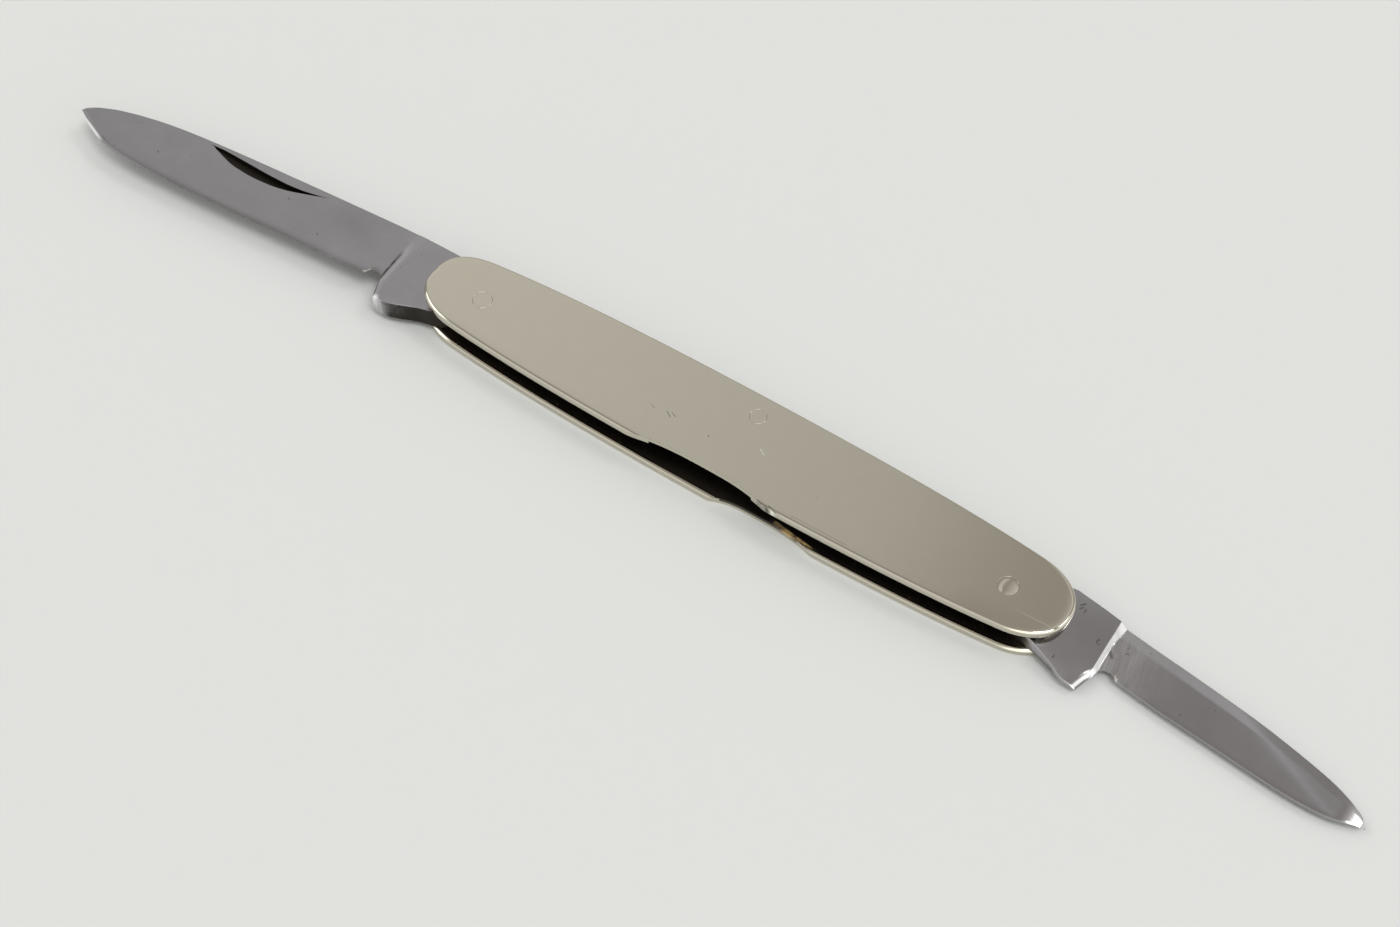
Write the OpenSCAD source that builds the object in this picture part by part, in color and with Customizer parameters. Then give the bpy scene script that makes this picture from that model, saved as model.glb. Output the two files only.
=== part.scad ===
// Pen knife: an all-metal folding knife with two blades on one back spring.
// It lies open on its pile side. X runs along the handle towards the pen blade,
// Y points to the back of the knife and Z up to the mark side. All sizes in mm.

/* [Handle] */
// Length of the handle, which is the length of the closed knife
handle_length = 76; // [70:1:86]
// Centre line to the back, at the middle of the handle
back_rise = 6; // [5:0.1:8]
// Centre line to the front, at the middle of the handle
front_drop = 5.4; // [4.8:0.1:7]
// How far the back has come in where the nose starts
back_taper = 1.25; // [0.2:0.05:1.8]
// How far the front has come in where the nose starts
front_taper = 1.1; // [0.2:0.05:1.6]
// Length of the rounded nose at each end
nose_length = 5.65; // [4:0.05:9]
// Height of the nose's tip above the centre line
nose_rise = 0.2; // [-1:0.05:1]

/* [Shells and liners] */
// Thickness of the pressed nickel silver sheet
sheet = 0.45; // [0.3:0.05:0.8]
// Thickness of a brass liner, which the shell's rim covers
liner = 0.35; // [0.25:0.05:0.6]
// Radius of the shell's rounded rim
rim_round = 0.3; // [0.1:0.05:0.4]
// Gap between a liner's edge and the rim around it
liner_fit = 0.05; // [0.02:0.01:0.15]
// Width of the slot between the liners
slot = 2.6; // [2.4:0.05:3.4]

/* [Thumbnail scallops] */
// Place of the mark side scallop along the handle
mark_scallop_x = -0.7; // [-8:0.1:8]
// Depth of the mark side scallop
mark_scallop_depth = 1; // [0.6:0.05:1.4]
// Place of the pile side scallop along the handle
pile_scallop_x = 8.5; // [0:0.1:12]
// Depth of the pile side scallop
pile_scallop_depth = 0.9; // [0.6:0.05:1.4]
// Radius of both scallops
scallop_r = 28.5; // [20:0.5:45]
// How much deeper each scallop cuts the liner than the shell
liner_setback = 0.4; // [0.1:0.05:0.8]

/* [Pins] */
// Distance from the end of the handle to the blade's pivot
pivot_inset = 6.7; // [6.2:0.1:8]
// Diameter of the two pivot pins
pivot_pin_d = 2.1; // [1.6:0.1:2.4]
// Diameter of the pin that holds the spring
spring_pin_d = 1.8; // [1.4:0.1:2.2]
// Place of the spring pin along the handle
spring_pin_x = 0.6; // [-3:0.1:3]
// Place of the spring pin above the centre line
spring_pin_y = 3.4; // [3:0.1:3.8]

/* [Tangs] */
// Distance from the pivot to the tang's back, and radius of its round end
tang_r = 2.1; // [1.9:0.05:2.4]
// Distance from the pivot to the step that meets the spring's tip
square_at = 4.9; // [4:0.1:5.4]
// Height of the tang's spine above the pivot at that step
square_rise = 3.7; // [3:0.1:4]
// Distance from the pivot to the shoulder where the grind starts
shoulder_at = 11.2; // [10.6:0.1:12.5]
// How far the kick's corner is set back from the shoulder
kick_setback = 0.8; // [0.4:0.1:1.4]
// Length of the kick's foot
kick_foot = 1.5; // [1:0.1:2]
// Radius of the notch between the kick and the edge
notch_r = 1; // [0.6:0.05:1.2]
// Radius of the full-thickness boss on the pen tang's mark side
boss_r = 4.2; // [3.8:0.1:4.4]
// Depth of the relief around that boss, where the main blade's point lies
tang_relief = 0.45; // [0.4:0.05:0.5]

/* [Main blade] */
// Distance from the closed blade's point to the other blade's pivot
main_point_gap = 9.3; // [8.8:0.1:14]
// Drop of the point below the pivot
main_point_drop = 2.5; // [1.5:0.1:3.5]
// Height of the spine at the shoulder
main_spine_rise = 3.9; // [3.4:0.1:4.6]
// Height of the spine where it starts to curve to the point
main_spine_mid = 1.75; // [1.4:0.05:2.4]
// Distance from the point back to the start of the spine's curve
main_spine_curve = 13.3; // [10:0.1:16]
// Drop of the edge at the heel
main_heel_drop = 3.15; // [2.8:0.05:3.6]
// Greatest drop of the edge, at the belly
main_belly_drop = 5.1; // [4.4:0.1:5.4]
// Distance from the point back to the belly
main_belly_back = 9.8; // [8:0.1:12]
// Drop of the kick's foot
main_kick_drop = 5.4; // [5:0.1:5.8]
// Thickness of the blade at its spine
main_spine_t = 1.1; // [0.8:0.05:1.2]
// Angle that the blade turns to close
main_close = 173; // [172:0.5:175]

/* [Pen blade] */
// Distance from the closed blade's point to the other blade's pivot
pen_point_gap = 23.3; // [20:0.1:28]
// Drop of the point below the pivot
pen_point_drop = 2.65; // [1.8:0.05:3.2]
// Height of the spine at the shoulder
pen_spine_rise = 3.5; // [3.2:0.1:4]
// Height of the spine where it starts to curve to the point
pen_spine_mid = 1.35; // [1:0.05:2]
// Distance from the point back to the start of the spine's curve
pen_spine_curve = 11.3; // [9:0.1:13]
// Drop of the edge at the heel
pen_heel_drop = 2; // [1.7:0.05:2.4]
// Greatest drop of the edge, at the belly
pen_belly_drop = 4; // [3.6:0.05:4.4]
// Distance from the point back to the belly
pen_belly_back = 7.3; // [5:0.1:9]
// Drop of the kick's foot
pen_kick_drop = 5.6; // [5.2:0.1:5.9]
// Thickness of the blade at its spine
pen_spine_t = 1.05; // [0.8:0.05:1.1]
// Angle that the blade turns to close
pen_close = 171; // [170:0.5:173]

/* [Grinds and nail marks] */
// Thickness of each blade at its cutting edge
edge_t = 0.1; // [0.06:0.01:0.16]
// Tilt of the main blade's mark face, in degrees
main_face_tilt = 2.5; // [1:0.1:3.5]
// Thickness left at the main blade's point
main_point_t = 0.1; // [0.06:0.01:0.15]
// Taper of the main blade towards its point, in degrees
main_point_taper = 3; // [2.8:0.1:4]
// Taper of the pen blade towards its point, in degrees
pen_point_taper = 3.8; // [2:0.1:4.2]
// Width of the bevel along the pen blade's spine
swedge_w = 1.05; // [0.6:0.05:1.4]
// Angle of that bevel, in degrees
swedge_angle = 18; // [8:1:24]
// Depth of a nail mark
nail_depth = 0.45; // [0.25:0.05:0.5]
// Distance from the main blade's point back to the middle of its nail mark
main_nail_back = 23.1; // [20:0.1:26]
// Length of the main nail mark
main_nail_length = 15.2; // [10:0.1:18]
// Distance from the pen blade's point back to the middle of its nail mark
pen_nail_back = 16.7; // [15:0.1:19]
// Length of the pen nail mark
pen_nail_length = 11; // [8:0.1:13]
// Distance from the spine to the deepest line of a nail mark
nail_from_spine = 1.5; // [1.2:0.05:2]
// Bow of a nail mark's crescent
nail_bow = 1.2; // [0.8:0.05:1.4]

/* [Spring] */
// Metal left under the spring pin's hole
spring_wall = 0.6; // [0.4:0.05:0.9]
// Half the length of the spring's thick middle
spring_mid_half = 4; // [2.5:0.1:6]
// How far the spring sits inside the shells' outline
spring_inset = 0.05; // [0.02:0.01:0.2]
// Length of the spring's pad past the point where the closed kick stops
spring_pad_run = 1.5; // [0.5:0.1:3]

/* [Clearances] */
// Radial clearance of a tang on its pivot pin
pivot_fit = 0.04; // [0.02:0.01:0.08]
// Radial clearance of a pin in a shell, a liner or the spring
pin_fit = 0.02; // [0.01:0.01:0.05]
// Gap between a tang's side and the liner beside it
side_gap = 0.05; // [0.03:0.01:0.08]
// Gap between the spring and a tang
spring_gap = 0.08; // [0.06:0.01:0.12]

/* [Hidden] */
$fn = 64;
nickel_silver = [0.72, 0.69, 0.62];
brass = [0.74, 0.6, 0.33];
steel = [0.56, 0.55, 0.55];
half_length = handle_length / 2;
nose_start = half_length - nose_length;
pivot_x = half_length - pivot_inset;
shell_height = sheet + liner;
slot_low = shell_height;
slot_high = shell_height + slot;
total_height = slot_high + shell_height;
tang_low = slot_low + side_gap;
tang_high = slot_high - side_gap;
main_length = 2 * pivot_x - main_point_gap;
pen_length = 2 * pivot_x - pen_point_gap;
main_nail_at = main_length - main_nail_back;
pen_nail_at = pen_length - pen_nail_back;
// The nose is a rounded corner of this power; 2 would be an ellipse
nose_power = 2.4;
// Share of a side's taper that follows the square of x; the rest follows its fourth power
taper_blend = 0.58;
// Points of a tang's lower side: distance from the pivot, and height above the kick's foot
tang_neck = [3.6, 1.75];
tang_hollow = [5.2, 1.45];
tang_ramp = [7.4, 0.65];
// How far the kick's foot rises towards the pivot
kick_ease = 0.1;
// Height of the kick's front face
kick_front = 2.2;
// Half width of the flat where the lower side leaves the tang's round end
tang_flat = 0.6;
// The tang's spine swells by this much, this far past the step
spine_swell = 0.15;
spine_swell_run = 0.8;
// How far the ground blade runs into its tang, and how far it stays inside the tang's outline there
root_run = 0.5;
root_inset = 0.1;
root_heel_inset = 0.4;
// How far the notch's centre lies below the heel
notch_low = 0.2;
// Directions of a blade's outline in degrees: spine and edge at the point, edge at the belly
point_spine_turn = -56;
point_edge_turn = 214;
belly_turn = 181;
// How much the spine's direction differs from its chord at the shoulder and at the bend
spine_leave = 0.5;
spine_arrive = -1.5;
// How far each curve follows its directions, as shares of the curve's length
spine_pull = 0.31;
bend_pull = 0.55;
point_pull = 0.17;
edge_pull = 0.26;
belly_pull = 0.52;
// Cross-section of a nail mark: a steep wall towards the spine and a shallow one towards the edge
nail_steep = [-1, 1.7];
nail_shallow = [1.5, 1.3];
outline_steps = 36;
curve_steps = 12;
far = 100;

// Share of the height that is left at x, which falls to nothing at the nose's tip
function nose_share(x, inset) =
    let(reach = max(0, abs(x) - nose_start) / (nose_length - inset))
    pow(max(0, 1 - pow(reach, nose_power)), 1 / nose_power);

// Height of one long side at x, before the nose is rounded
function side_height(x, rise, taper) =
    let(share = pow(x / nose_start, 2))
    rise - taper * (taper_blend * share + (1 - taper_blend) * share * share);

function back_y(x, inset) =
    nose_rise + (side_height(x, back_rise - inset, back_taper) - nose_rise) * nose_share(x, inset);

function front_y(x, inset) =
    nose_rise - (side_height(x, front_drop - inset, front_taper) + nose_rise) * nose_share(x, inset);

// The handle's outline, set in by a given distance
function handle_outline(inset) =
    let(reach = half_length - inset)
    concat(
        [for (i = [0:outline_steps])
            let(x = -reach * cos(180 * i / outline_steps)) [x, back_y(x, inset)]],
        [for (i = [1:outline_steps - 1])
            let(x = reach * cos(180 * i / outline_steps)) [x, front_y(x, inset)]]);

// Points of a curve from a to b that leaves and arrives in the given directions
function curve(a, leave, leave_pull, b, arrive, arrive_pull) =
    let(p = a + leave_pull * [cos(leave), sin(leave)])
    let(q = b - arrive_pull * [cos(arrive), sin(arrive)])
    [for (i = [0:curve_steps])
        let(t = i / curve_steps, r = 1 - t)
        r * r * r * a + 3 * r * r * t * p + 3 * r * t * t * q + t * t * t * b];

// A point of an open blade after the blade has turned towards the front
function turned(p, angle) =
    [p[0] * cos(angle) + p[1] * sin(angle), p[1] * cos(angle) - p[0] * sin(angle)];

// Lower side of a tang, from its round end out to the kick
function tang_lower(kick_drop) =
    let(foot = [shoulder_at - kick_setback, -kick_drop])
    [[tang_flat, -sqrt(tang_r * tang_r - tang_flat * tang_flat)],
     [0, -kick_drop] + tang_neck,
     [0, -kick_drop] + tang_hollow,
     [0, -kick_drop] + tang_ramp,
     foot + [-kick_foot, kick_ease],
     foot];

// The spring's underside at one end, from its tip inwards, as seen from that end's pivot
function spring_underside(kick_drop, close) =
    let(lower = tang_lower(kick_drop))
    let(kick = turned(lower[len(lower) - 1], close))
    concat(
        [[square_at - spring_gap, tang_r + spring_gap]],
        [for (p = lower)
            let(q = turned(p, close)) [q[0], max(q[1], tang_r) + spring_gap]],
        [[kick[0] - spring_pad_run, kick[1] + spring_gap]]);

module handle_plate(inset, height) {
    linear_extrude(height) polygon(handle_outline(inset));
}

module pin_holes(clearance) {
    for (side = [-1, 1])
        translate([side * pivot_x, 0, -1]) cylinder(d = pivot_pin_d + 2 * clearance, h = shell_height + 2);
    translate([spring_pin_x, spring_pin_y, -1])
        cylinder(d = spring_pin_d + 2 * clearance, h = shell_height + 2);
}

module scallop(x, depth) {
    translate([x, depth - front_drop - scallop_r, -1])
        cylinder(r = scallop_r, h = shell_height + 2, $fn = 180);
}

// A solid with the handle's outline, set in by one distance at each height of its levels
module rounded_plate(levels) {
    count = len(handle_outline(0));
    points = [for (level = levels) for (p = handle_outline(level[0])) [p[0], p[1], level[1]]];
    sides = [for (ring = [0:len(levels) - 2]) for (i = [0:count - 1])
        let(a = ring * count + i, b = ring * count + (i + 1) % count)
        each [[a, b, b + count], [a, b + count, a + count]]];
    underside = [for (i = [count - 1:-1:0]) i];
    top = [for (i = [0:count - 1]) (len(levels) - 1) * count + i];
    polyhedron(points, concat([underside], sides, [top]));
}

// A pressed shell: a dished plate whose rim turns down around the liner
module shell(scallop_x, scallop_depth) {
    cut_in = rim_round * (1 - cos(45));
    difference() {
        rounded_plate([[0, 0], [0, shell_height - rim_round], [cut_in, shell_height - cut_in],
                       [rim_round, shell_height]]);
        translate([0, 0, -1]) handle_plate(sheet, liner + 1);
        scallop(scallop_x, scallop_depth);
        pin_holes(pin_fit);
    }
}

module liner_plate(scallop_x, scallop_depth) {
    difference() {
        handle_plate(sheet + liner_fit, liner);
        scallop(scallop_x, scallop_depth + liner_setback);
        pin_holes(pin_fit);
    }
}

module mark_side_shell() {
    color(nickel_silver)
        translate([0, 0, slot_high]) shell(mark_scallop_x, mark_scallop_depth);
}

module mark_side_liner() {
    color(brass)
        translate([0, 0, slot_high]) liner_plate(mark_scallop_x, mark_scallop_depth);
}

module pile_side_shell() {
    color(nickel_silver)
        translate([0, 0, slot_low]) mirror([0, 0, 1]) shell(pile_scallop_x, pile_scallop_depth);
}

module pile_side_liner() {
    color(brass)
        translate([0, 0, slot_low]) mirror([0, 0, 1]) liner_plate(pile_scallop_x, pile_scallop_depth);
}

// One spring fills the back of the slot and presses on both tangs
module backspring() {
    tip_x = pivot_x + square_at - spring_gap;
    mid_y = spring_pin_y - spring_pin_d / 2 - spring_wall;
    main_end = spring_underside(main_kick_drop, main_close);
    pen_end = spring_underside(pen_kick_drop, pen_close);
    top = [for (i = [0:outline_steps])
        let(x = -tip_x * cos(180 * i / outline_steps)) [x, back_y(x, spring_inset)]];
    right = [for (p = pen_end) [pivot_x + p[0], p[1]]];
    left = [for (i = [len(main_end) - 1:-1:0]) [-pivot_x - main_end[i][0], main_end[i][1]]];
    middle = [[spring_pin_x + spring_mid_half, mid_y], [spring_pin_x - spring_mid_half, mid_y]];
    color(steel)
    difference() {
        translate([0, 0, slot_low]) linear_extrude(slot) polygon(concat(top, right, middle, left));
        translate([spring_pin_x, spring_pin_y, slot_low - 1])
            cylinder(d = spring_pin_d + 2 * pin_fit, h = slot + 2);
    }
}

// Tang of a blade that points along +X from its pivot
module tang(kick_drop, spine_rise, relief) {
    lower = tang_lower(kick_drop);
    foot = lower[len(lower) - 1];
    difference() {
        translate([0, 0, tang_low]) linear_extrude(tang_high - tang_low) {
            circle(r = tang_r);
            polygon(concat(
                [[0, 0], [0, tang_r], [square_at, tang_r], [square_at, square_rise],
                 [square_at + spine_swell_run, (square_rise + spine_rise) / 2 + spine_swell],
                 [shoulder_at, spine_rise], [shoulder_at, foot[1] + kick_front]],
                [for (i = [len(lower) - 1:-1:0]) lower[i]]));
        }
        translate([0, 0, tang_high - relief]) difference() {
            cylinder(r = far, h = 1);
            translate([0, 0, -1]) cylinder(r = boss_r, h = 3);
        }
        translate([0, 0, tang_low - 1]) cylinder(d = pivot_pin_d + 2 * pivot_fit, h = slot + 2);
    }
}

// Outline of the ground part of a blade, from inside the tang out to the point
function blade_outline(length, point_drop, spine_rise, spine_mid, spine_curve,
                       heel_drop, belly_drop, belly_back) =
    let(point = [length, -point_drop])
    let(bend = [length - spine_curve, spine_mid])
    let(belly = [length - belly_back, -belly_drop])
    let(run = bend[0] - shoulder_at)
    let(fall = atan2(spine_mid - spine_rise, run))
    concat(
        [[shoulder_at - root_run, root_heel_inset - heel_drop],
         [shoulder_at - root_run, spine_rise - root_inset]],
        curve([shoulder_at, spine_rise], fall + spine_leave, spine_pull * run,
              bend, fall + spine_arrive, spine_pull * run),
        curve(bend, fall + spine_arrive, bend_pull * spine_curve,
              point, point_spine_turn, point_pull * spine_curve),
        curve(point, point_edge_turn, edge_pull * belly_back, belly, belly_turn, belly_pull * belly_back),
        [[shoulder_at + 2 * notch_r, -heel_drop]]);

// Everything above a plane through the spine's line, tilted about that line
module above_plane(spine_rise, fall, from_spine, z, tilt) {
    translate([shoulder_at, spine_rise, z]) rotate([0, 0, fall]) translate([0, -from_spine, 0])
        rotate([tilt, 0, 0]) translate([-far, -far, 0]) cube([2 * far, 2 * far, far]);
}

module below_plane(spine_rise, fall, from_spine, z, tilt) {
    translate([shoulder_at, spine_rise, z]) rotate([0, 0, fall]) translate([0, -from_spine, 0])
        rotate([tilt, 0, 0]) translate([-far, -far, -far]) cube([2 * far, 2 * far, far]);
}

// Crescent groove in a face that looks up, ending where its tilted ring leaves the face
module nail_mark(length) {
    ring_r = length * length / (8 * nail_bow) + nail_bow / 2;
    translate([0, 0, -nail_depth]) rotate([asin(nail_depth / nail_bow), 0, 0]) translate([0, ring_r, 0])
        rotate_extrude($fn = 180)
            polygon([[ring_r, 0], [ring_r, 0] + nail_shallow, [ring_r, 0] + nail_steep]);
}

// The notch is a round cut just in front of the shoulder
module notch(heel_drop) {
    translate([shoulder_at + notch_r, -heel_drop - notch_low, 0]) cylinder(r = notch_r, h = total_height);
}

// The main blade's face lies flush with the mark side of its tang
module main_blade_local() {
    run = main_length - main_spine_curve - shoulder_at;
    fall = atan2(main_spine_mid - main_spine_rise, run);
    depth = main_spine_rise + main_heel_drop;
    low = tang_high - main_spine_t;
    pile_tilt = atan2(main_spine_t - depth * tan(main_face_tilt) - edge_t, depth);
    point_v = main_spine_rise + main_point_drop + (main_length - shoulder_at) * tan(fall);
    point_z = tang_high - point_v * tan(main_face_tilt) - main_point_t;
    tang(main_kick_drop, main_spine_rise, 0);
    difference() {
        linear_extrude(tang_high) polygon(blade_outline(main_length, main_point_drop, main_spine_rise,
            main_spine_mid, main_spine_curve, main_heel_drop, main_belly_drop, main_belly_back));
        above_plane(main_spine_rise, fall, 0, tang_high, main_face_tilt);
        below_plane(main_spine_rise, fall, 0, low, -pile_tilt);
        translate([main_length, 0, point_z]) rotate([0, -main_point_taper, 0])
            translate([-far, -far, -far]) cube([2 * far, 2 * far, far]);
        notch(main_heel_drop);
        translate([main_nail_at, main_spine_rise + (main_nail_at - shoulder_at) * tan(fall) - nail_from_spine,
                   tang_high - nail_from_spine * tan(main_face_tilt)])
            rotate([main_face_tilt, 0, fall]) nail_mark(main_nail_length);
    }
}

// The pen blade lies near the pile side, a deep shoulder below its tang's mark side
module pen_blade_local() {
    run = pen_length - pen_spine_curve - shoulder_at;
    fall = atan2(pen_spine_mid - pen_spine_rise, run);
    depth = pen_spine_rise + pen_heel_drop;
    high = tang_low + pen_spine_t;
    mark_tilt = atan2(pen_spine_t - edge_t, depth);
    tang(pen_kick_drop, pen_spine_rise, tang_relief);
    difference() {
        linear_extrude(high) polygon(blade_outline(pen_length, pen_point_drop, pen_spine_rise,
            pen_spine_mid, pen_spine_curve, pen_heel_drop, pen_belly_drop, pen_belly_back));
        translate([-far, -far, -1]) cube([2 * far, 2 * far, tang_low + 1]);
        above_plane(pen_spine_rise, fall, 0, high, mark_tilt);
        above_plane(pen_spine_rise, fall, swedge_w, high - swedge_w * tan(mark_tilt), -swedge_angle);
        translate([pen_length - pen_spine_curve, 0, high - swedge_w * tan(mark_tilt)])
            rotate([0, pen_point_taper, 0]) translate([-far, -far, 0]) cube([2 * far, 2 * far, far]);
        notch(pen_heel_drop);
        translate([pen_nail_at, pen_spine_rise + (pen_nail_at - shoulder_at) * tan(fall) - nail_from_spine,
                   tang_low])
            rotate([0, 0, fall]) mirror([0, 0, 1]) nail_mark(pen_nail_length);
    }
}

module main_blade() {
    color(steel) translate([-pivot_x, 0, 0]) mirror([1, 0, 0]) main_blade_local();
}

module pen_blade() {
    color(steel) translate([pivot_x, 0, 0]) pen_blade_local();
}

module pin(x, y, d) {
    color(nickel_silver) translate([x, y, 0]) cylinder(d = d, h = total_height);
}

module main_pivot_pin() {
    pin(-pivot_x, 0, pivot_pin_d);
}

module pen_pivot_pin() {
    pin(pivot_x, 0, pivot_pin_d);
}

module spring_pin() {
    pin(spring_pin_x, spring_pin_y, spring_pin_d);
}

mark_side_shell();
mark_side_liner();
pile_side_shell();
pile_side_liner();
backspring();
main_blade();
pen_blade();
main_pivot_pin();
pen_pivot_pin();
spring_pin();
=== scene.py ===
"""Pen knife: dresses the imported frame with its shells, liners, spring, blades, pins and a pale stage."""

import math
from collections import namedtuple
from functools import reduce
from types import SimpleNamespace

import bmesh
import bpy
from bpy.props import FloatProperty, FloatVectorProperty, PointerProperty
from bpy.types import Operator, Panel, PropertyGroup
from mathutils import Matrix, Vector


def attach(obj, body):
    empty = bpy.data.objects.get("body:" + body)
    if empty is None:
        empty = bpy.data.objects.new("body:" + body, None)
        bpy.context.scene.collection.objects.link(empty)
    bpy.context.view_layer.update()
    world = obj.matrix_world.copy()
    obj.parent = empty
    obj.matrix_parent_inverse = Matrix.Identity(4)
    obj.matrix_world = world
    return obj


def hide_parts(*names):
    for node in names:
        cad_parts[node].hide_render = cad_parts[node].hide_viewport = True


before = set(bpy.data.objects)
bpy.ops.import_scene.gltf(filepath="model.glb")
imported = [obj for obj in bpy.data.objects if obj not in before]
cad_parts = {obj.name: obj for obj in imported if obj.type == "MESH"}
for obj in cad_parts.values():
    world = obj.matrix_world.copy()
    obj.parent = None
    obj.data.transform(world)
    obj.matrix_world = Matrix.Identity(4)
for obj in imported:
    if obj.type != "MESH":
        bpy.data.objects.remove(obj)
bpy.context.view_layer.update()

bl_info = {
    "name": "Pen knife",
    "version": (1, 0, 0),
    "blender": (4, 5, 0),
    "location": "View3D > Sidebar > Pen knife",
    "description": "Builds the visible pieces of a two-blade pen knife around its packed frame",
    "category": "Add Mesh",
}

MM = 0.001
OUTLINE_POINTS = 480
ROUND_STEPS = 7
ROD_SIDES = 96
SMOOTH_BELOW = 28  # degrees between faces up to which an edge looks smooth
BLADE_SMOOTH_BELOW = 14

# Sizes in millimetres, as all others below
CUT_FROM, CUT_TO = -1, 3  # heights that a cutter passes through
WORN = 0.07  # width of a worn corner
MARK_LIP = 0.04  # how far a shell's lip is rounded
PILE_LIP = 0.33
LINER_GAP = 0.01  # between a liner's rim and its shell
PIN_GAP = 0.01  # between a pin and its hole
NOSE_DENT = (-37.72, 0.8, 0.32, 0.15)  # a small dent in the mark side's nose: its middle, radius and depth


def length(name, description, millimetres, low, high):
    """A length that a user can change; Blender keeps it in metres."""
    return FloatProperty(name=name, description=description, default=millimetres * MM, min=low * MM,
                         max=high * MM, precision=5, unit="LENGTH")


def number(name, description, value, low, high, subtype="NONE"):
    return FloatProperty(name=name, description=description, default=value, min=low, max=high,
                         subtype=subtype)


def tint(name, description, colour):
    return FloatVectorProperty(name=name, description=description, default=colour, size=3, min=0, max=1,
                               subtype="COLOR")


class PenKnifeHandle(PropertyGroup):
    half_length: length("Half length", "From the middle of the handle to either end", 38, 33, 43)
    back_rise: length("Back rise", "Centre line to the back, at the middle", 6, 5, 8)
    front_drop: length("Front drop", "Centre line to the front, at the middle", 5.4, 4.8, 7)
    back_taper: length("Back taper", "How far the back has come in where the nose starts", 1.15, 0.2, 1.8)
    front_taper: length("Front taper", "How far the front has come in where the nose starts", 1.1, 0.2, 1.6)
    nose_length: length("Nose length", "Length of the rounded nose at each end", 5.65, 4, 9)
    nose_rise: length("Nose rise", "Height of the nose's tip above the centre line", 0.2, 0, 1)
    nose_power: number("Nose power", "How square a nose is; 2 would be an ellipse", 2.4, 2, 4)
    main_nose_power: number("Main nose power", "The same at the main blade's back corner", 2.9, 2, 4)
    height: length("Height", "Thickness of the whole handle", 4.2, 3.5, 6)
    sheet: length("Sheet", "Thickness of the pressed sheet", 0.45, 0.3, 0.8)
    liner: length("Liner", "Thickness of a brass liner", 0.35, 0.25, 0.6)
    rim_round: length("Rim round", "Radius of the shell's rounded rim", 0.33, 0.1, 0.45)
    roll_width: length("Roll width", "Width of the soft roll inside the rim", 1.3, 0.5, 2)
    roll_drop: length("Roll drop", "How far the face has sunk at the rim", 0.012, 0, 0.1)
    mark_scallop: length("Mark scallop", "Place of the mark side scallop along the handle", -0.7, -8, 8)
    mark_scallop_depth: length("Mark scallop depth", "Depth of the mark side scallop", 0.88, 0.6, 1.4)
    mark_scallop_left: length("Mark scallop left", "Its reach towards the main blade", 8.7, 5, 12)
    mark_scallop_right: length("Mark scallop right", "Its reach towards the pen blade", 7.55, 5, 12)
    pile_scallop: length("Pile scallop", "Place of the pile side scallop along the handle", 6.7, 0, 12)
    pile_scallop_depth: length("Pile scallop depth", "Depth of the pile side scallop", 0.87, 0.5, 1.4)
    pile_scallop_reach: length("Pile scallop reach", "Half the pile side scallop's width", 6.3, 4, 9)
    pile_rim_round: length("Pile rim round", "Radius of the pile side shell's rim", 0.12, 0.1, 0.45)
    pile_front: length("Pile side front", "How much further out the front of the pile side is", 0.19, 0, 0.2)


class PenKnifePins(PropertyGroup):
    pivot: length("Pivot", "From the middle of the handle to either blade's pin", 31.3, 28, 34)
    pivot_radius: length("Pivot pin radius", "Radius of the two pivot pins", 1.05, 0.8, 1.2)
    spring_x: length("Spring pin along", "Place of the spring pin along the handle", 0.6, -3, 3)
    spring_y: length("Spring pin up", "Place of the spring pin above the centre line", 3.4, 3, 3.8)
    spring_radius: length("Spring pin radius", "Radius of the pin that holds the spring", 0.9, 0.7, 1.1)
    groove: length("Groove", "Width of the fine groove round a pin's end", 0.02, 0, 0.15)
    dimple: length("Dimple", "How far the pen blade's pin has sunk in", 0.12, 0, 0.3)


class PenKnifeBlades(PropertyGroup):
    tang_low: length("Tang underside", "Height of the tangs' pile side", 0.85, 0.6, 1.2)
    tang_high: length("Tang top", "Height of the tangs' mark side", 3.35, 3, 4)
    pen_step: length("Pen step", "Height of the pen blade's shoulder", 0.45, 0.2, 1)
    corner: length("Corner", "Width of the worn corners of a tang", 0.06, 0, 0.15)
    pen_fall: number("Pen fall", "How steeply the pen blade's face falls to its edge", 0.15, 0.05, 0.2)
    main_thickness: length("Main thickness", "Thickness of the main blade at its spine", 1.1, 0.8, 1.3)
    pen_thickness: length("Pen thickness", "Thickness of the pen blade at its spine", 1.05, 0.8, 1.2)
    bevel: length("Edge bevel", "Width of the whetted bevel along an edge", 0.34, 0.1, 0.6)
    swedge: length("Swedge", "Width of the bevel along the pen blade's spine", 1.15, 0.6, 1.4)
    nail_depth: length("Nail mark depth", "Depth of a nail mark", 0.45, 0.2, 0.5)


class PenKnifeFinish(PropertyGroup):
    nickel_silver: tint("Nickel silver", "Polished shells and pins", (0.60, 0.565, 0.475))
    brass: tint("Brass", "Liners and the solder at the rim", (0.62, 0.44, 0.19))
    main_steel: tint("Main steel", "Main blade", (0.35, 0.34, 0.355))
    pen_steel: tint("Pen steel", "Pen blade", (0.40, 0.39, 0.405))
    spring_steel: tint("Spring steel", "Back spring", (0.33, 0.32, 0.31))
    # Painted shade: this dark tone also darkens the slot's liners and the tangs where shade falls
    grime_and_shade: tint("Grime", "Old oil and dirt in the slot", (0.045, 0.038, 0.030))
    floor: tint("Floor", "Pale floor", (0.673, 0.687, 0.677))


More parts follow.
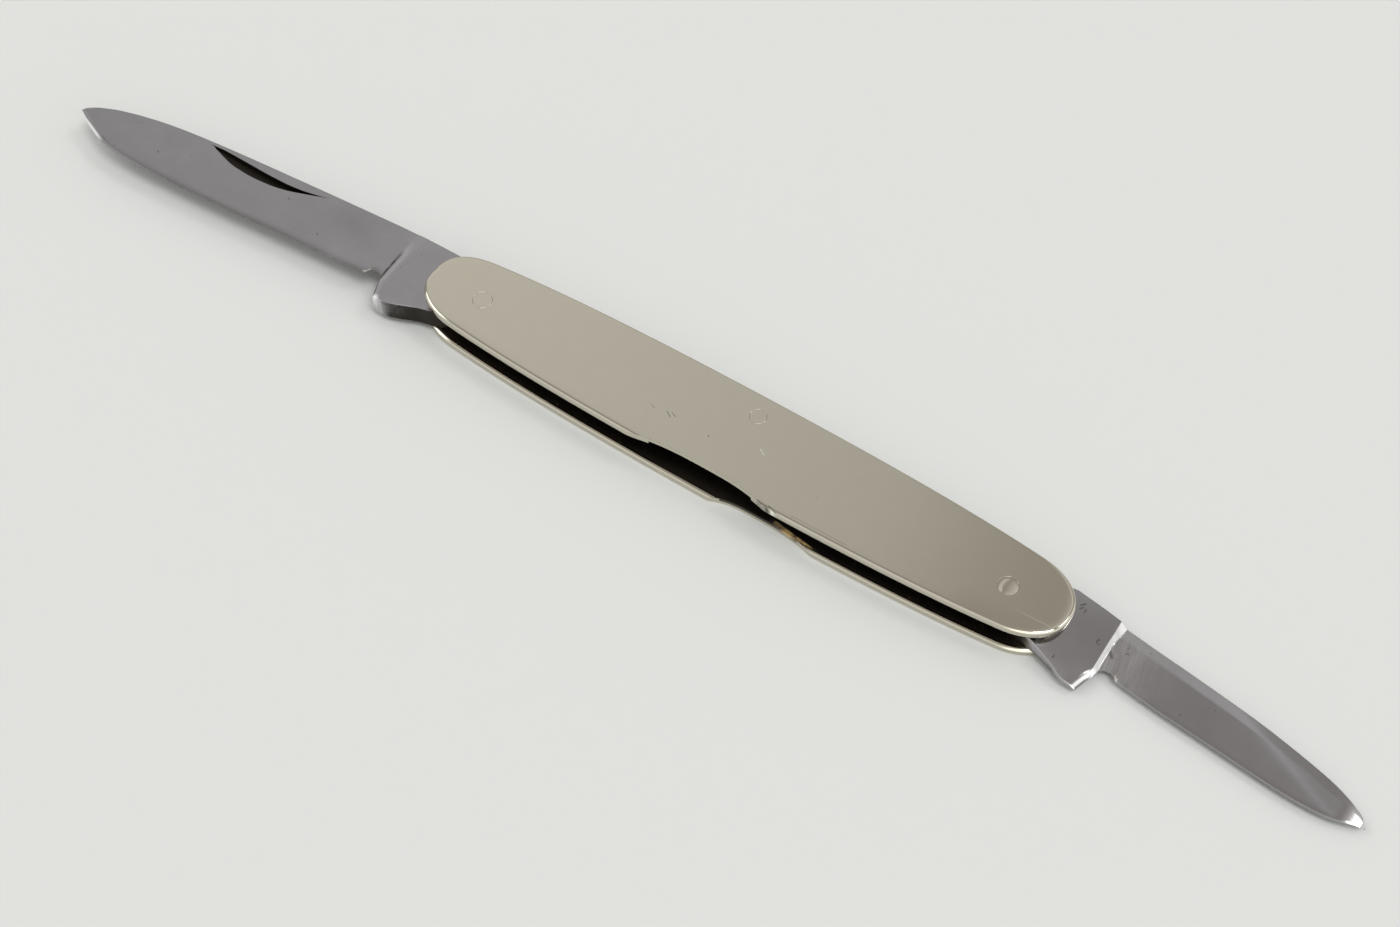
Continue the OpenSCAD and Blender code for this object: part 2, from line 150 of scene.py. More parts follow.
class PenKnifeStage(PropertyGroup):
    lamp_power: number("Lamp power", "Strength of the lamp overhead", 0.96, 0, 10)
    lamp_angle: number("Lamp angle", "How wide the lamp overhead is", 0.4, 0.01, 1.5, "ANGLE")
    window_power: number("Window power", "Strength of the soft light from the right", 0.38, 0, 10)
    window_angle: number("Window angle", "How wide the soft light is", 0.3, 0.01, 1.5, "ANGLE")
    sky_strength: number("Sky strength", "Strength of the surrounding light", 1.0, 0, 3)


class PenKnifeSettings(PropertyGroup):
    handle: PointerProperty(type=PenKnifeHandle)
    pins: PointerProperty(type=PenKnifePins)
    blades: PointerProperty(type=PenKnifeBlades)
    finish: PointerProperty(type=PenKnifeFinish)
    stage: PointerProperty(type=PenKnifeStage)


TANG_RADIUS = 2.1
TANG_STEP = 4.9  # where a tang rises past the spring's end

RIDGE_START = 11.2
NOTCH = 1.0  # radius of the notch in front of a shoulder

# A blade's lines in millimetres: distance from the pivot, height above it. The heel is the height of the
# kick's front corner, kick_share the part of the tang that belongs to the kick, and slant how far the kick
# leans towards the pivot below slant_from. The face's ridge falls from RIDGE_START on. The nick is a place
# and a depth.
BladeLines = namedtuple("BladeLines", "shoulder heel kick_share slant_from slant ridge ridge_fall nick "
                        "spine edge tang_back tang_front nail_upper nail_lower")
MAIN = BladeLines(
    shoulder=11.2, heel=-3.15, kick_share=0.24, slant_from=-3.3, slant=0.36, ridge=3.9, ridge_fall=0.0747,
    nick=(39.1, 0.1),
    spine=[(11.2, 3.9), (13.4, 3.79), (18.1, 3.48), (22.8, 3.15), (27.6, 2.79), (32.3, 2.43), (37.2, 2.0),
           (39.6, 1.76), (42, 1.47), (44.4, 1.09), (46.7, 0.61), (48.1, 0.26), (50.2, -0.38), (51.5, -0.97),
           (52.2, -1.35), (52.8, -1.78), (53.15, -2.14), (53.3, -2.5)],
    edge=[(13.2, -3.13), (17.6, -3.52), (23.5, -3.92), (30.2, -4.42), (34.7, -4.73), (38.7, -4.92),
          (43, -5.08), (44.6, -5.1), (47, -4.98), (48.6, -4.69), (49.5, -4.38), (50.4, -4.03), (51.3, -3.65),
          (52.2, -3.22), (53.3, -2.5)],
    tang_back=[(TANG_STEP, 3.7), (5.7, 3.93), (11.2, 3.9)],
    tang_front=[(0.6, -2.01), (3.6, -3.65), (5.2, -4.0), (6.4, -4.45), (7.6, -4.95), (8.6, -5.28),
                (9.9, -5.4), (11.2, -5.4)],
    nail_upper=[(22.7, 2.44), (23.7, 2.2), (25.8, 1.79), (27.9, 1.6), (30.3, 1.56), (32.7, 1.59),
                (34.9, 1.62), (36.9, 1.62), (37.9, 1.55)],
    nail_lower=[(22.7, 2.44), (24.9, 1.62), (27.3, 0.82), (29.4, 0.42), (31.6, 0.26), (34.1, 0.4),
                (35.7, 0.76), (36.9, 1.15), (37.9, 1.55)])
PEN = BladeLines(
    shoulder=11.05, heel=-2.0, kick_share=0.3, slant_from=-2.1, slant=0.31, ridge=3.5, ridge_fall=0.128,
    nick=(0, 0),
    spine=[(11.05, 3.55), (14.8, 3.05), (18.7, 2.56), (22.6, 2.05), (26.4, 1.55), (29, 1.12), (31.5, 0.64),
           (33.9, 0.12), (35.2, -0.2), (36.4, -0.6), (37.6, -1.12), (38.4, -1.6), (38.9, -2.05),
           (39.3, -2.65)],
    edge=[(13.2, -1.75), (14.6, -1.99), (18.5, -2.48), (23.6, -2.96), (28.6, -3.45), (31.1, -3.67),
          (33, -3.75), (34.9, -3.71), (36.2, -3.56), (37.4, -3.25), (38.6, -2.84), (39.3, -2.65)],
    tang_back=[(TANG_STEP, 3.95), (5.6, 4.12), (6.8, 4.03), (8.2, 3.92), (11.05, 3.6)],
    tang_front=[(0.6, -2.01), (3.1, -2.93), (4.6, -3.2), (6.2, -3.67), (7.4, -4.08), (8.3, -4.5),
                (9.0, -4.64), (11.2, -4.64)],
    nail_upper=[(17.1, 1.85), (18.3, 1.55), (20.2, 1.27), (22.6, 1.02), (25, 0.82), (26.9, 0.78),
                (28.1, 0.82)],
    nail_lower=[(17.1, 1.85), (18.3, 1.0), (20.2, 0.4), (22.6, 0.08), (25, 0.05), (26.9, 0.36), (28.1, 0.82)])
MAIN_FALL = 0.0437  # how steeply the main blade's face falls to its edge
MAIN_HOLLOW = (17.2, -0.6, 2.0, 0.08)  # a shallow hollow in its face: its middle, reach and depth
PEN_NAIL_DEPTH = 0.4

# The spring's underside: distance from the pivot towards the middle, height; then the lug round its pin
SPRING_END_GAP = 0.08  # from the spring's end to the step in a tang
SPRING_END_HEIGHT = 2.18
SPRING_UNDERSIDE = [(-0.6, 2.18), (1.5, 2.35), (4.0, 3.4), (5.6, 3.5), (8.0, 4.02), (9.0, 4.26), (12.2, 4.26)]
SPRING_LUG = [(4.6, 1.9), (-3.4, 1.9)]

# Small marks on the metal, seen from the mark side: each is a stroke from x, y to x, y, and its width
NICKS = [(-7.4, -1.12, -6.75, -1.5, 0.06), (-6.9, -0.95, -6.3, -1.2, 0.05), (-2.3, -1.3, -2.2, -1.4, 0.07),
         (10.6, -1.5, 10.7, -1.55, 0.05)]
FAINT_NICKS = [(-9.25, -1.27, -8.65, -1.46, 0.06), (8.23, -5.26, 8.8, -5.2, 0.05)]
RIM_CHIP = [(7.2, -5.05, 7.62, -5.11, 0.09), (7.62, -5.11, 8.23, -5.26, 0.07), (6.9, -5.2, 7.4, -5.42, 0.15)]
RIM_SMEAR = [(6.0, -5.1, 7.3, -5.3, 0.22)]
FLECKS = [(2.92, 0.21, 3.6, -0.2, 0.06), (7.75, -5.38, 8.5, -5.5, 0.14)]
CREASE = [(31.6, -1.98, 36.7, -1.75, 0.16)]
SOLDER_LINE = [(9.66, -4.77, 12.94, -4.69, 0.07), (12.94, -4.69, 15.89, -4.66, 0.07)]
MAIN_SPOTS = [(-73.65, -2.4, -73.5, -2.5, 0.12), (-57.5, 0.2, -57.3, 0.15, 0.1),
              (-51.95, -1.85, -51.8, -1.95, 0.12)]
PEN_SPOTS = [(37.9, 2.9, 38.2, 3.2, 0.16), (38.0, 2.5, 38.2, 2.75, 0.14), (38.5, 2.4, 38.55, 2.7, 0.12),
             (40.95, 0.5, 41.05, 0.8, 0.15), (41.1, 0.35, 41.3, 0.4, 0.09), (38.25, -3.35, 38.3, -3.1, 0.13),
             (42.4, 0.6, 42.9, 0.1, 0.25), (43.9, 1.15, 44.1, 1.2, 0.12), (43.7, 1.7, 43.8, 1.75, 0.08)]

# The photo's camera: its lens and place, and the ways to its right, up and back
LENS = 61.02
CAMERA_PLACE = (0.07084, -0.11341, 0.20025)
CAMERA_WAYS = ((0.83408, 0.55164, 0), (-0.4592, 0.69432, 0.55413), (0.30568, -0.46219, 0.83243))
LAMP_WAY = (0.36, -0.1, 0.93)
WINDOW_WAY = (0.45, 0.36, 0.82)

# Tones of small marks, of polished facets with painted highlights on the blades, and of the room
STREAK = (0.62, 0.61, 0.61, 1)
# Near-white base colour for polished facets, used mostly to paint highlights and glints on the blades
BRIGHT_POLISH_AND_HIGHLIGHT = (0.97, 0.96, 0.97, 1)
SOLDER = (0.4, 0.27, 0.22, 1)
FLECK = (1, 0.97, 0.9, 1)
CREASED = (0.85, 0.8, 0.7, 1)
BRIGHT_ROOM = (1, 0.99, 0.965, 1)
DARK_ROOM = (1, 0.86, 0.72, 1)
BACKGROUND = (0.73, 0.745, 0.735, 1)


def follow(points, x):
    """Height at x of the smooth line through points, which never overshoots them."""
    if x <= points[0][0]:
        return points[0][1]
    if x >= points[-1][0]:
        return points[-1][1]
    i = next(k for k in range(len(points) - 1) if x <= points[k + 1][0])

    def slope(k):
        """Mean of the slopes on both sides of a point, or 0 at a turning point"""
        pairs = list(zip(points, points[1:]))[max(0, k - 1):k + 1]
        rises = [(after[1] - before[1]) / (after[0] - before[0]) for before, after in pairs]
        a, b = rises[0], rises[-1]
        return 0 if a * b <= 0 else 2 * a * b / (a + b)

    (x0, y0), (x1, y1) = points[i], points[i + 1]
    run = x1 - x0
    t = (x - x0) / run
    return ((1 + 2 * t) * (1 - t) ** 2 * y0 + t * (1 - t) ** 2 * run * slope(i)
            + t * t * (3 - 2 * t) * y1 - t * t * (1 - t) * run * slope(i + 1))


def ease(low, high, x):
    """0 below low, 1 above high, and a smooth step between."""
    t = min(1, max(0, (x - low) / (high - low)))
    return t * t * (3 - 2 * t)


def fade(low, high, x):
    return 1 - ease(low, high, x)


def mix(a, b, t):
    return a + (b - a) * t


def settings():
    return bpy.context.scene.pen_knife


def sizes(name):
    """The numbers of a named group of settings, with lengths in millimetres."""
    group = getattr(settings(), name)
    values = {}
    for prop in group.bl_rna.properties:
        if prop.type == "FLOAT":
            value = getattr(group, prop.identifier)
            values[prop.identifier] = value / MM if prop.unit == "LENGTH" else value
    return SimpleNamespace(**values)


def new_object(name, data):
    """An object at the origin, in the scene."""
    made = bpy.data.objects.new(name, data)
    bpy.context.collection.objects.link(made)
    return made


def as_mesh(bm, name):
    mesh = bpy.data.meshes.new(name)
    bm.to_mesh(mesh)
    bm.free()
    return mesh


def finished_piece(name, bm, body, node, material, smooth_below=SMOOTH_BELOW):
    """Turns a bmesh in millimetres into an object that rides on a body and stands for a CAD node."""
    bmesh.ops.recalc_face_normals(bm, faces=bm.faces)
    bmesh.ops.scale(bm, vec=(MM, MM, MM), verts=bm.verts)
    mesh = as_mesh(bm, name)
    mesh.shade_smooth()
    mesh.set_sharp_from_angle(angle=math.radians(smooth_below))
    mesh.materials.append(material)
    piece = new_object(name, mesh)
    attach(piece, body)
    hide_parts(node)


def nose_share(h, x, power, inset=0.0):
    """How much of the handle's height is left at x, where its rounded nose comes in."""
    reach = max(0, abs(x) - h.half_length + h.nose_length) / (h.nose_length - inset)
    return max(0, 1 - reach ** power) ** (1 / power)


def side_height(h, x, rise, taper):
    """Height of a long side at x: its rise in the middle, less the taper towards the noses."""
    share = (x / (h.half_length - h.nose_length)) ** 2
    return rise - taper * (0.58 * share + 0.42 * share * share)


def back_line(h, x, inset=0.0):
    """Height of the handle's back at x, or of a line that lies inset under it."""
    share = nose_share(h, x, h.main_nose_power if x < 0 else h.nose_power, inset)
    return h.nose_rise + (side_height(h, x, h.back_rise - inset, h.back_taper) - h.nose_rise) * share


def front_line(h, x):
    share = nose_share(h, x, h.nose_power)
    return h.nose_rise - (side_height(h, x, h.front_drop, h.front_taper) + h.nose_rise) * share


def handle_outline(h):
    """Points of the handle's outline, evenly turned round it from the pen end over the back."""
    points = []
    for i in range(OUTLINE_POINTS):
        turn = 2 * math.pi * i / OUTLINE_POINTS
        x = h.half_length * math.cos(turn)
        points.append((x, back_line(h, x) if turn <= math.pi else front_line(h, x)))
    return points


def cut(bm, cutters):
    """Takes the cutters, each a bmesh, out of bm with Boolean modifiers."""
    body = new_object("cut_body", as_mesh(bm, "cut_body"))
    tools = [new_object("cut_tool", as_mesh(cutter, "cut_tool")) for cutter in cutters]
    for tool in tools:
        modifier = body.modifiers.new("cut", "BOOLEAN")
        modifier.operation = "DIFFERENCE"
        modifier.solver = "EXACT"
        modifier.object = tool
    shown = body.evaluated_get(bpy.context.evaluated_depsgraph_get())
    result = bmesh.new()
    result.from_mesh(shown.to_mesh())
    for piece in [body] + tools:
        mesh = piece.data
        bpy.data.objects.remove(piece)
        bpy.data.meshes.remove(mesh)
    return result


def worn_corners(bm, edges, segments):
    bmesh.ops.bevel(bm, geom=edges, offset=WORN, offset_type="OFFSET", affect="EDGES", segments=segments,
                    profile=0.5, material=-1, clamp_overlap=True)


def circle(x, y, z, radius):
    turns = [2 * math.pi * k / ROD_SIDES for k in range(ROD_SIDES)]
    return [(x + radius * math.cos(turn), y + radius * math.sin(turn), z) for turn in turns]


def flared_rod(x, y, high, radius, flare):
    """A cutter that widens just under the height high, for a hole with a worn lip."""
    return loft([circle(x, y, CUT_FROM, radius), circle(x, y, high - flare, radius),
                 circle(x, y, high, radius + flare), circle(x, y, CUT_TO, radius + flare)], capped=True)


def inward(points, distance):
    """The outline's points moved square to it, towards its inside."""
    moved = []
    for i, (x, y) in enumerate(points):
        (x0, y0), (x1, y1) = points[i - 1], points[(i + 1) % len(points)]
        run = math.hypot(x1 - x0, y1 - y0)
        moved.append((x - (y1 - y0) / run * distance, y + (x1 - x0) / run * distance))
    return moved


# A thumbnail scallop: place along the handle, depth, and its reach, squareness and softness on either side
Scallop = namedtuple("Scallop", "place depth left right")


def mark_scallop(h):
    return Scallop(h.mark_scallop, h.mark_scallop_depth, (h.mark_scallop_left, 2.8, 0.14),
                   (h.mark_scallop_right, 3.1, 0.14))


def pile_scallop(h):
    return Scallop(h.pile_scallop, h.pile_scallop_depth, (h.pile_scallop_reach, 4.0, 0.05),
                   (h.pile_scallop_reach, 2.2, 0.05))


def scallop_line(h, scallop, x):
    """Edge of a scallop's cutter at x: a hollow that runs softly out into the handle's front."""
    reach, squareness, softness = scallop.left if x < scallop.place else scallop.right
    hollow = scallop.depth - h.front_drop - scallop.depth * (abs(x - scallop.place) / reach) ** squareness
    front = front_line(h, x)
    return front - 0.03 + softness * math.log(1 + math.exp((hollow - front) / softness))


def scallop_cutter(h, scallop, deeper=0.0):
    along = [scallop.place + 0.1 * k for k in range(-110, 111)]
    outside = -2 * h.front_drop
    edge = [(x, scallop_line(h, scallop, x) + deeper) for x in along]
    edge += [(along[-1], outside), (along[0], outside)]
    return loft([[(x, y, z) for x, y in edge] for z in (CUT_FROM, CUT_TO)], capped=True)


def push_front(bm, amount):
    """Moves the front of a shell or liner outwards."""
    for vert in bm.verts:
        vert.co.y -= amount * ease(2.5, 4.5, -vert.co.y)


def liner_mesh(h, pins, scallop):
    """The flat liner inside the pile side shell, cut back with it."""
    outline = inward(handle_outline(h), h.sheet + LINER_GAP)
    bm = loft([[(x, y, z) for x, y in outline] for z in (h.sheet + 0.002, h.sheet + h.liner)], capped=True)
    holes = [loft([circle(x, y, z, radius) for z in (CUT_FROM, CUT_TO)], capped=True)
             for x, y, radius in pin_places(pins)]
    return cut(bm, [scallop_cutter(h, scallop, 0.02)] + holes)


def shell_mesh(h, pins, scallop, rim, lip):
    """A pressed shell with its open side at height 0, its face up, a rounded rim and a worn lip."""
    tall = h.sheet + h.liner
    width = h.roll_width - rim
    outline = handle_outline(h)
    lean = math.atan(2 * h.roll_drop / width)
    base = tall - h.roll_drop - rim * math.cos(lean)
    # Each level is how far in from the outline, and how high
    levels = [(h.sheet, h.liner), (h.sheet, 0)]
    levels += [(a * lip, b * lip) for a, b in ((1, 0), (0.57, 0.17), (0.29, 0.37), (0.09, 0.63), (0, 1))]
    for step in range(ROUND_STEPS + 1):
        turn = (math.pi / 2 - lean) * step / ROUND_STEPS
        levels.append((rim * (1 - math.cos(turn)), base + rim * math.sin(turn)))
    inside = levels[-1][0]
    for step in range(1, ROUND_STEPS + 1):
        share = step / ROUND_STEPS
        levels.append((inside + width * share, tall - h.roll_drop * (1 - share) ** 2))
    levels.append((inside + width + 0.1, tall))
    bm = loft([[(x, y, z) for x, y in inward(outline, inset)] for inset, z in levels], capped=True)
    holes = [flared_rod(x, y, tall, radius, pins.groove) for x, y, radius in pin_places(pins)]
    shell = cut(bm, [scallop_cutter(h, scallop)] + holes)

    def on_lip(vert):
        line = scallop_line(h, scallop, vert.co.x)
        in_scallop = line > front_line(h, vert.co.x) + 0.3
        return in_scallop and vert.co.z > tall - h.roll_drop - 0.02 and abs(vert.co.y - line) < 0.004

    worn_corners(shell, [e for e in shell.edges if all(on_lip(vert) for vert in e.verts)], 3)
    return shell


def pin_places(pins):
    """Place along and up, and radius, of each pin's hole."""
    return [(-pins.pivot, 0, pins.pivot_radius), (pins.pivot, 0, pins.pivot_radius),
            (pins.spring_x, pins.spring_y, pins.spring_radius)]


def pin_mesh(radius, height, chamfer, sink):
    """A pin spun from its profile, with a worn edge and, if it has sunk in, a dished upper end."""
    bm = bmesh.new()
    profile = [(0, 0), (radius - chamfer, 0), (radius, chamfer), (radius, height - chamfer - sink * 0.5),
               (radius - chamfer, height - sink * 0.5), (radius * 0.8, height - sink * 0.8),
               (radius * 0.5, height - sink), (0, height - sink)]
    verts = [bm.verts.new((r, 0, z)) for r, z in profile]
    edges = [bm.edges.new(pair) for pair in zip(verts, verts[1:])]
    bmesh.ops.spin(bm, geom=verts + edges, cent=(0, 0, 0), axis=(0, 0, 1), angle=2 * math.pi, steps=64,
                   use_merge=True)
    bmesh.ops.remove_doubles(bm, verts=bm.verts, dist=1e-5)
    return bm


def loft(rings, capped=False):
    """A closed solid through rings of equally many points, with or without a wear colour at each."""
    bm = bmesh.new()
    across = len(rings[0])
    bmesh.ops.create_grid(bm, x_segments=len(rings) - 1, y_segments=across, size=1)
    worn = bm.verts.layers.float_color.new("wear") if len(rings[0][0]) > 3 else None
    for vert in bm.verts:
        i = round((vert.co.x + 1) / 2 * (len(rings) - 1))
        j = round((vert.co.y + 1) / 2 * across)
        point = rings[i][j % across]
        vert.co = point[:3]
        if worn:
            vert[worn] = point[3:] + (1,)
    bmesh.ops.remove_doubles(bm, verts=bm.verts, dist=1e-5)
    bmesh.ops.dissolve_degenerate(bm, dist=1e-5, edges=bm.edges)
    if capped:
        bmesh.ops.holes_fill(bm, edges=[e for e in bm.edges if e.is_boundary], sides=0)
    bmesh.ops.recalc_face_normals(bm, faces=bm.faces)
    return bm


def spread(marks, steps):
    """Values between each pair of marks, in the given numbers of equal steps."""
    values = [marks[0]]
    for low, high, count in zip(marks, marks[1:], steps):
        values += [mix(low, high, (k + 1) / count) for k in range(count)]
    return values


def blade_stations(lines):
    """Distances from the pivot of a blade's cross-sections: the tang's, then the ground part's."""
    shoulder, tip = lines.shoulder, lines.spine[-1][0]
    round_end = [-TANG_RADIUS * math.cos(math.pi / 2 * k / 10) for k in range(11)]
    tang = spread([0, TANG_STEP - 0.001, TANG_STEP, 8.6, shoulder - 0.5, shoulder], [8, 1, 12, 12, 12])
    nail_start, nail_end = lines.nail_upper[0][0] - 0.1, lines.nail_upper[-1][0] + 0.1
    ground = spread([shoulder + 0.0005, shoulder + 0.6, shoulder + 2 * NOTCH, nail_start, nail_end,
                     tip - 3.5, tip - 0.6, tip], [12, 30, 20, 110, 36, 26, 14])
    return round_end + tang[1:], ground


def tang_span(lines, s):
    """Lower and upper side of a tang at s."""
    half = math.sqrt(max(0, TANG_RADIUS ** 2 - s * s))
    if s <= 0:
        return -half, half
    upper = TANG_RADIUS if s < TANG_STEP else follow(lines.tang_back, s)
    return (-half if s <= 0.6 else follow(lines.tang_front, s)), upper


def notch_edge(lines, s):
    """Edge of the ground part at s, with the round notch in front of the shoulder."""
    shoulder = lines.shoulder
    if s < shoulder + 2 * NOTCH:
        arc = lines.heel - 0.2 + math.sqrt(max(0, NOTCH ** 2 - (s - shoulder - NOTCH) ** 2))
        return arc if s < shoulder + NOTCH else max(arc, follow(lines.edge, shoulder + 2 * NOTCH) - 0.05)
    return follow(lines.edge, s)


def section(lines, b, s, tang):
    """A blade at s: both sides, where its kick joins, its width from there, that up to 1, ridge and bevel."""
    if tang:
        lower, upper = tang_span(lines, s)
        join = max(lower, mix(mix(lower, upper, lines.kick_share), lines.heel, ease(6, 10, s)))
    else:
        nick, depth = lines.nick
        join = lower = notch_edge(lines, s) + depth * max(0, 1 - abs(s - nick) / 0.45)
        upper = follow(lines.spine, s)
    wide = upper - join
    ridge = lines.ridge - lines.ridge_fall * (s - RIDGE_START)
    bevel = 0.05 if tang else max(1e-6, b.bevel * min(1, wide / 3))
    return lower, upper, join, wide, min(1, wide), ridge, bevel


def scooped(t, nail):
    """How far a nail mark has gone down at t."""
    upper, deepest, lower, depth = nail
    if depth <= 0 or t >= upper or t <= lower:
        return 0
    if t > deepest:
        return depth * (upper - t) / (upper - deepest)
    share = (t - lower) / (deepest - lower)
    return depth * share * (1.3 - 0.3 * share)


def nail_mark(lines, s, join, upper, depth):
    """Upper, deepest and lower line of a nail mark at s, and how deep the mark is there."""
    start, end = lines.nail_upper[0][0], lines.nail_upper[-1][0]
    away = max(0, start - s, s - end)
    room = upper - join
    top = min(follow(lines.nail_upper, s) + away * 0.05, upper - 0.12 - 0.05 * room)
    low = min(follow(lines.nail_lower, s) - away * 0.05, top - 0.05 * min(1, room))
    low = max(low, join + 0.4 * (top - join))
    span = (2 * s - start - end) / (end - start)
    return top, mix(top, low, 0.1), low, depth * max(0, 1 - span * span) ** 0.5


def slant(lines, s, t):
    """How far a point near the shoulder has moved towards the pivot, for t below the start of the kick."""
    ahead = s - lines.shoulder
    near = ease(-2.2, -0.6, ahead) * fade(0.6, 1.8, ahead)
    return -lines.slant * max(0, lines.slant_from - t) * near


def main_ring(b, s, tang):
    """One cross-section of the main blade, round from the spine over the mark side, with its wear."""
    high, low, shoulder = b.tang_high, b.tang_low, MAIN.shoulder
    hollow_s, hollow_t, reach, deep = MAIN_HOLLOW
    lower, upper, join, wide, part, ridge, bevel = section(MAIN, b, s, tang)
    drop = ease(shoulder - 0.3, shoulder + 0.3, s)
    pile_drop = 0 if tang else 1 - (1 - min(1, (s - shoulder) / 0.5)) ** 5
    to_tip = max(0, MAIN.spine[-1][0] - s)
    taper = min(1, 0.08 + 0.053 * to_tip)
    whet_drop = (0.03 + 0.13 * fade(3.8, 5.2, to_tip)) * part
    kick = ease(10.1, 10.9, s) if tang else 0
    nail = nail_mark(MAIN, s, join, upper, b.nail_depth)
    spine_corner = (b.corner if tang else 0.1) * part
    edge_corner = b.corner + 0.1 * kick if tang else 0.02 * part

    def mark(t):
        z = high - max(0, ridge - t) * MAIN_FALL * drop - 0.06 * ease(shoulder - 0.9, shoulder - 0.05, s)
        z -= deep * math.exp(-((s - hollow_s) ** 2 + (t - hollow_t) ** 2) / (2 * reach ** 2))
        return z if tang else z - max(0, 1 - (t - lower) / bevel) * whet_drop

    def pile(t):
        share = 0 if wide < 1e-6 else (t - join) / wide
        thick = mix(0.13, b.main_thickness, max(0, share)) * taper
        z = mix(low, high - max(0, ridge - t) * MAIN_FALL - thick, pile_drop)
        return z if tang else z + max(0, 1 - (t - lower) / bevel) * 0.03 * taper

    def wear(t, z, wall):
        """Dirt and painted shade, grinding streaks, and polished metal with painted highlights at a point;
        wall is True on the blade's narrow sides
        """
        face = z > 2
        # Painted shade with some dirt: the tang's walls darker towards the handle and everything darker
        # inside it; a painted sheen on the wall of the kick
        dirt_and_shade = max(0.75 * fade(8.2, 10.2, s) if wall and tang else 0, 0.6 * fade(3.8, 5.2, s))
        glint_and_polish = 0.3 * ease(9.2, 9.9, s) if wall and tang else 0
        # Painted highlights: glints on the kick's corner, along the edge at the tip and where it starts, and
        # a faint one on the shoulder
        if face and t < lower + edge_corner + 0.01:
            glint_and_polish = max(glint_and_polish, kick)
        if face and t < lower + 0.6 * bevel and not tang:
            glint_and_polish = max(glint_and_polish, fade(3.6, 5.0, to_tip), fade(0.25, 0.4, abs(s - MAIN.edge[0][0] - 0.05)))
        if face and tang:
            glint_and_polish = max(glint_and_polish, 0.1 * ease(-0.8, -0.4, s - shoulder) * fade(0.5, 2.8, t))
        # Darker in the shoulder's corner and in the nail mark
        if z > 2.4:
            corner = ease(-0.1, 0.1, s - shoulder) * fade(0.15, 0.6, s - shoulder)
            dirt_and_shade = max(dirt_and_shade, 0.55 * corner * fade(-1.0, 2.6, t))
        if face:
            dirt_and_shade = max(dirt_and_shade, min(0.9, scooped(t, nail) * 12))
        return dirt_and_shade, 0.3 * fade(shoulder, shoulder + 4, s) * (s > shoulder), glint_and_polish

    extra = spread([join, lower + edge_corner], [5])[1:] if tang else [lower] * 5
    start = join + 0.01 * part
    rows = spread([upper - spine_corner, *nail[:3], join + bevel, start], [3, 3, 10, 12, 2]) + extra
    back = extra[::-1] + spread([start, join + bevel, upper - spine_corner], [2, 14])
    ring = [(upper, mark(upper) - spine_corner, True)]
    ring += [(t, mark(t) - scooped(t, nail), False) for t in rows]
    ring += [(lower, mark(lower) - edge_corner, True), (lower, pile(lower) + edge_corner, True)]
    ring += [(t, pile(t), False) for t in back]
    ring.append((upper, pile(upper) + spine_corner * (1 if tang else 0.6), True))
    return [(s + slant(MAIN, s, t), t, z) + wear(t, z, wall) for t, z, wall in ring]


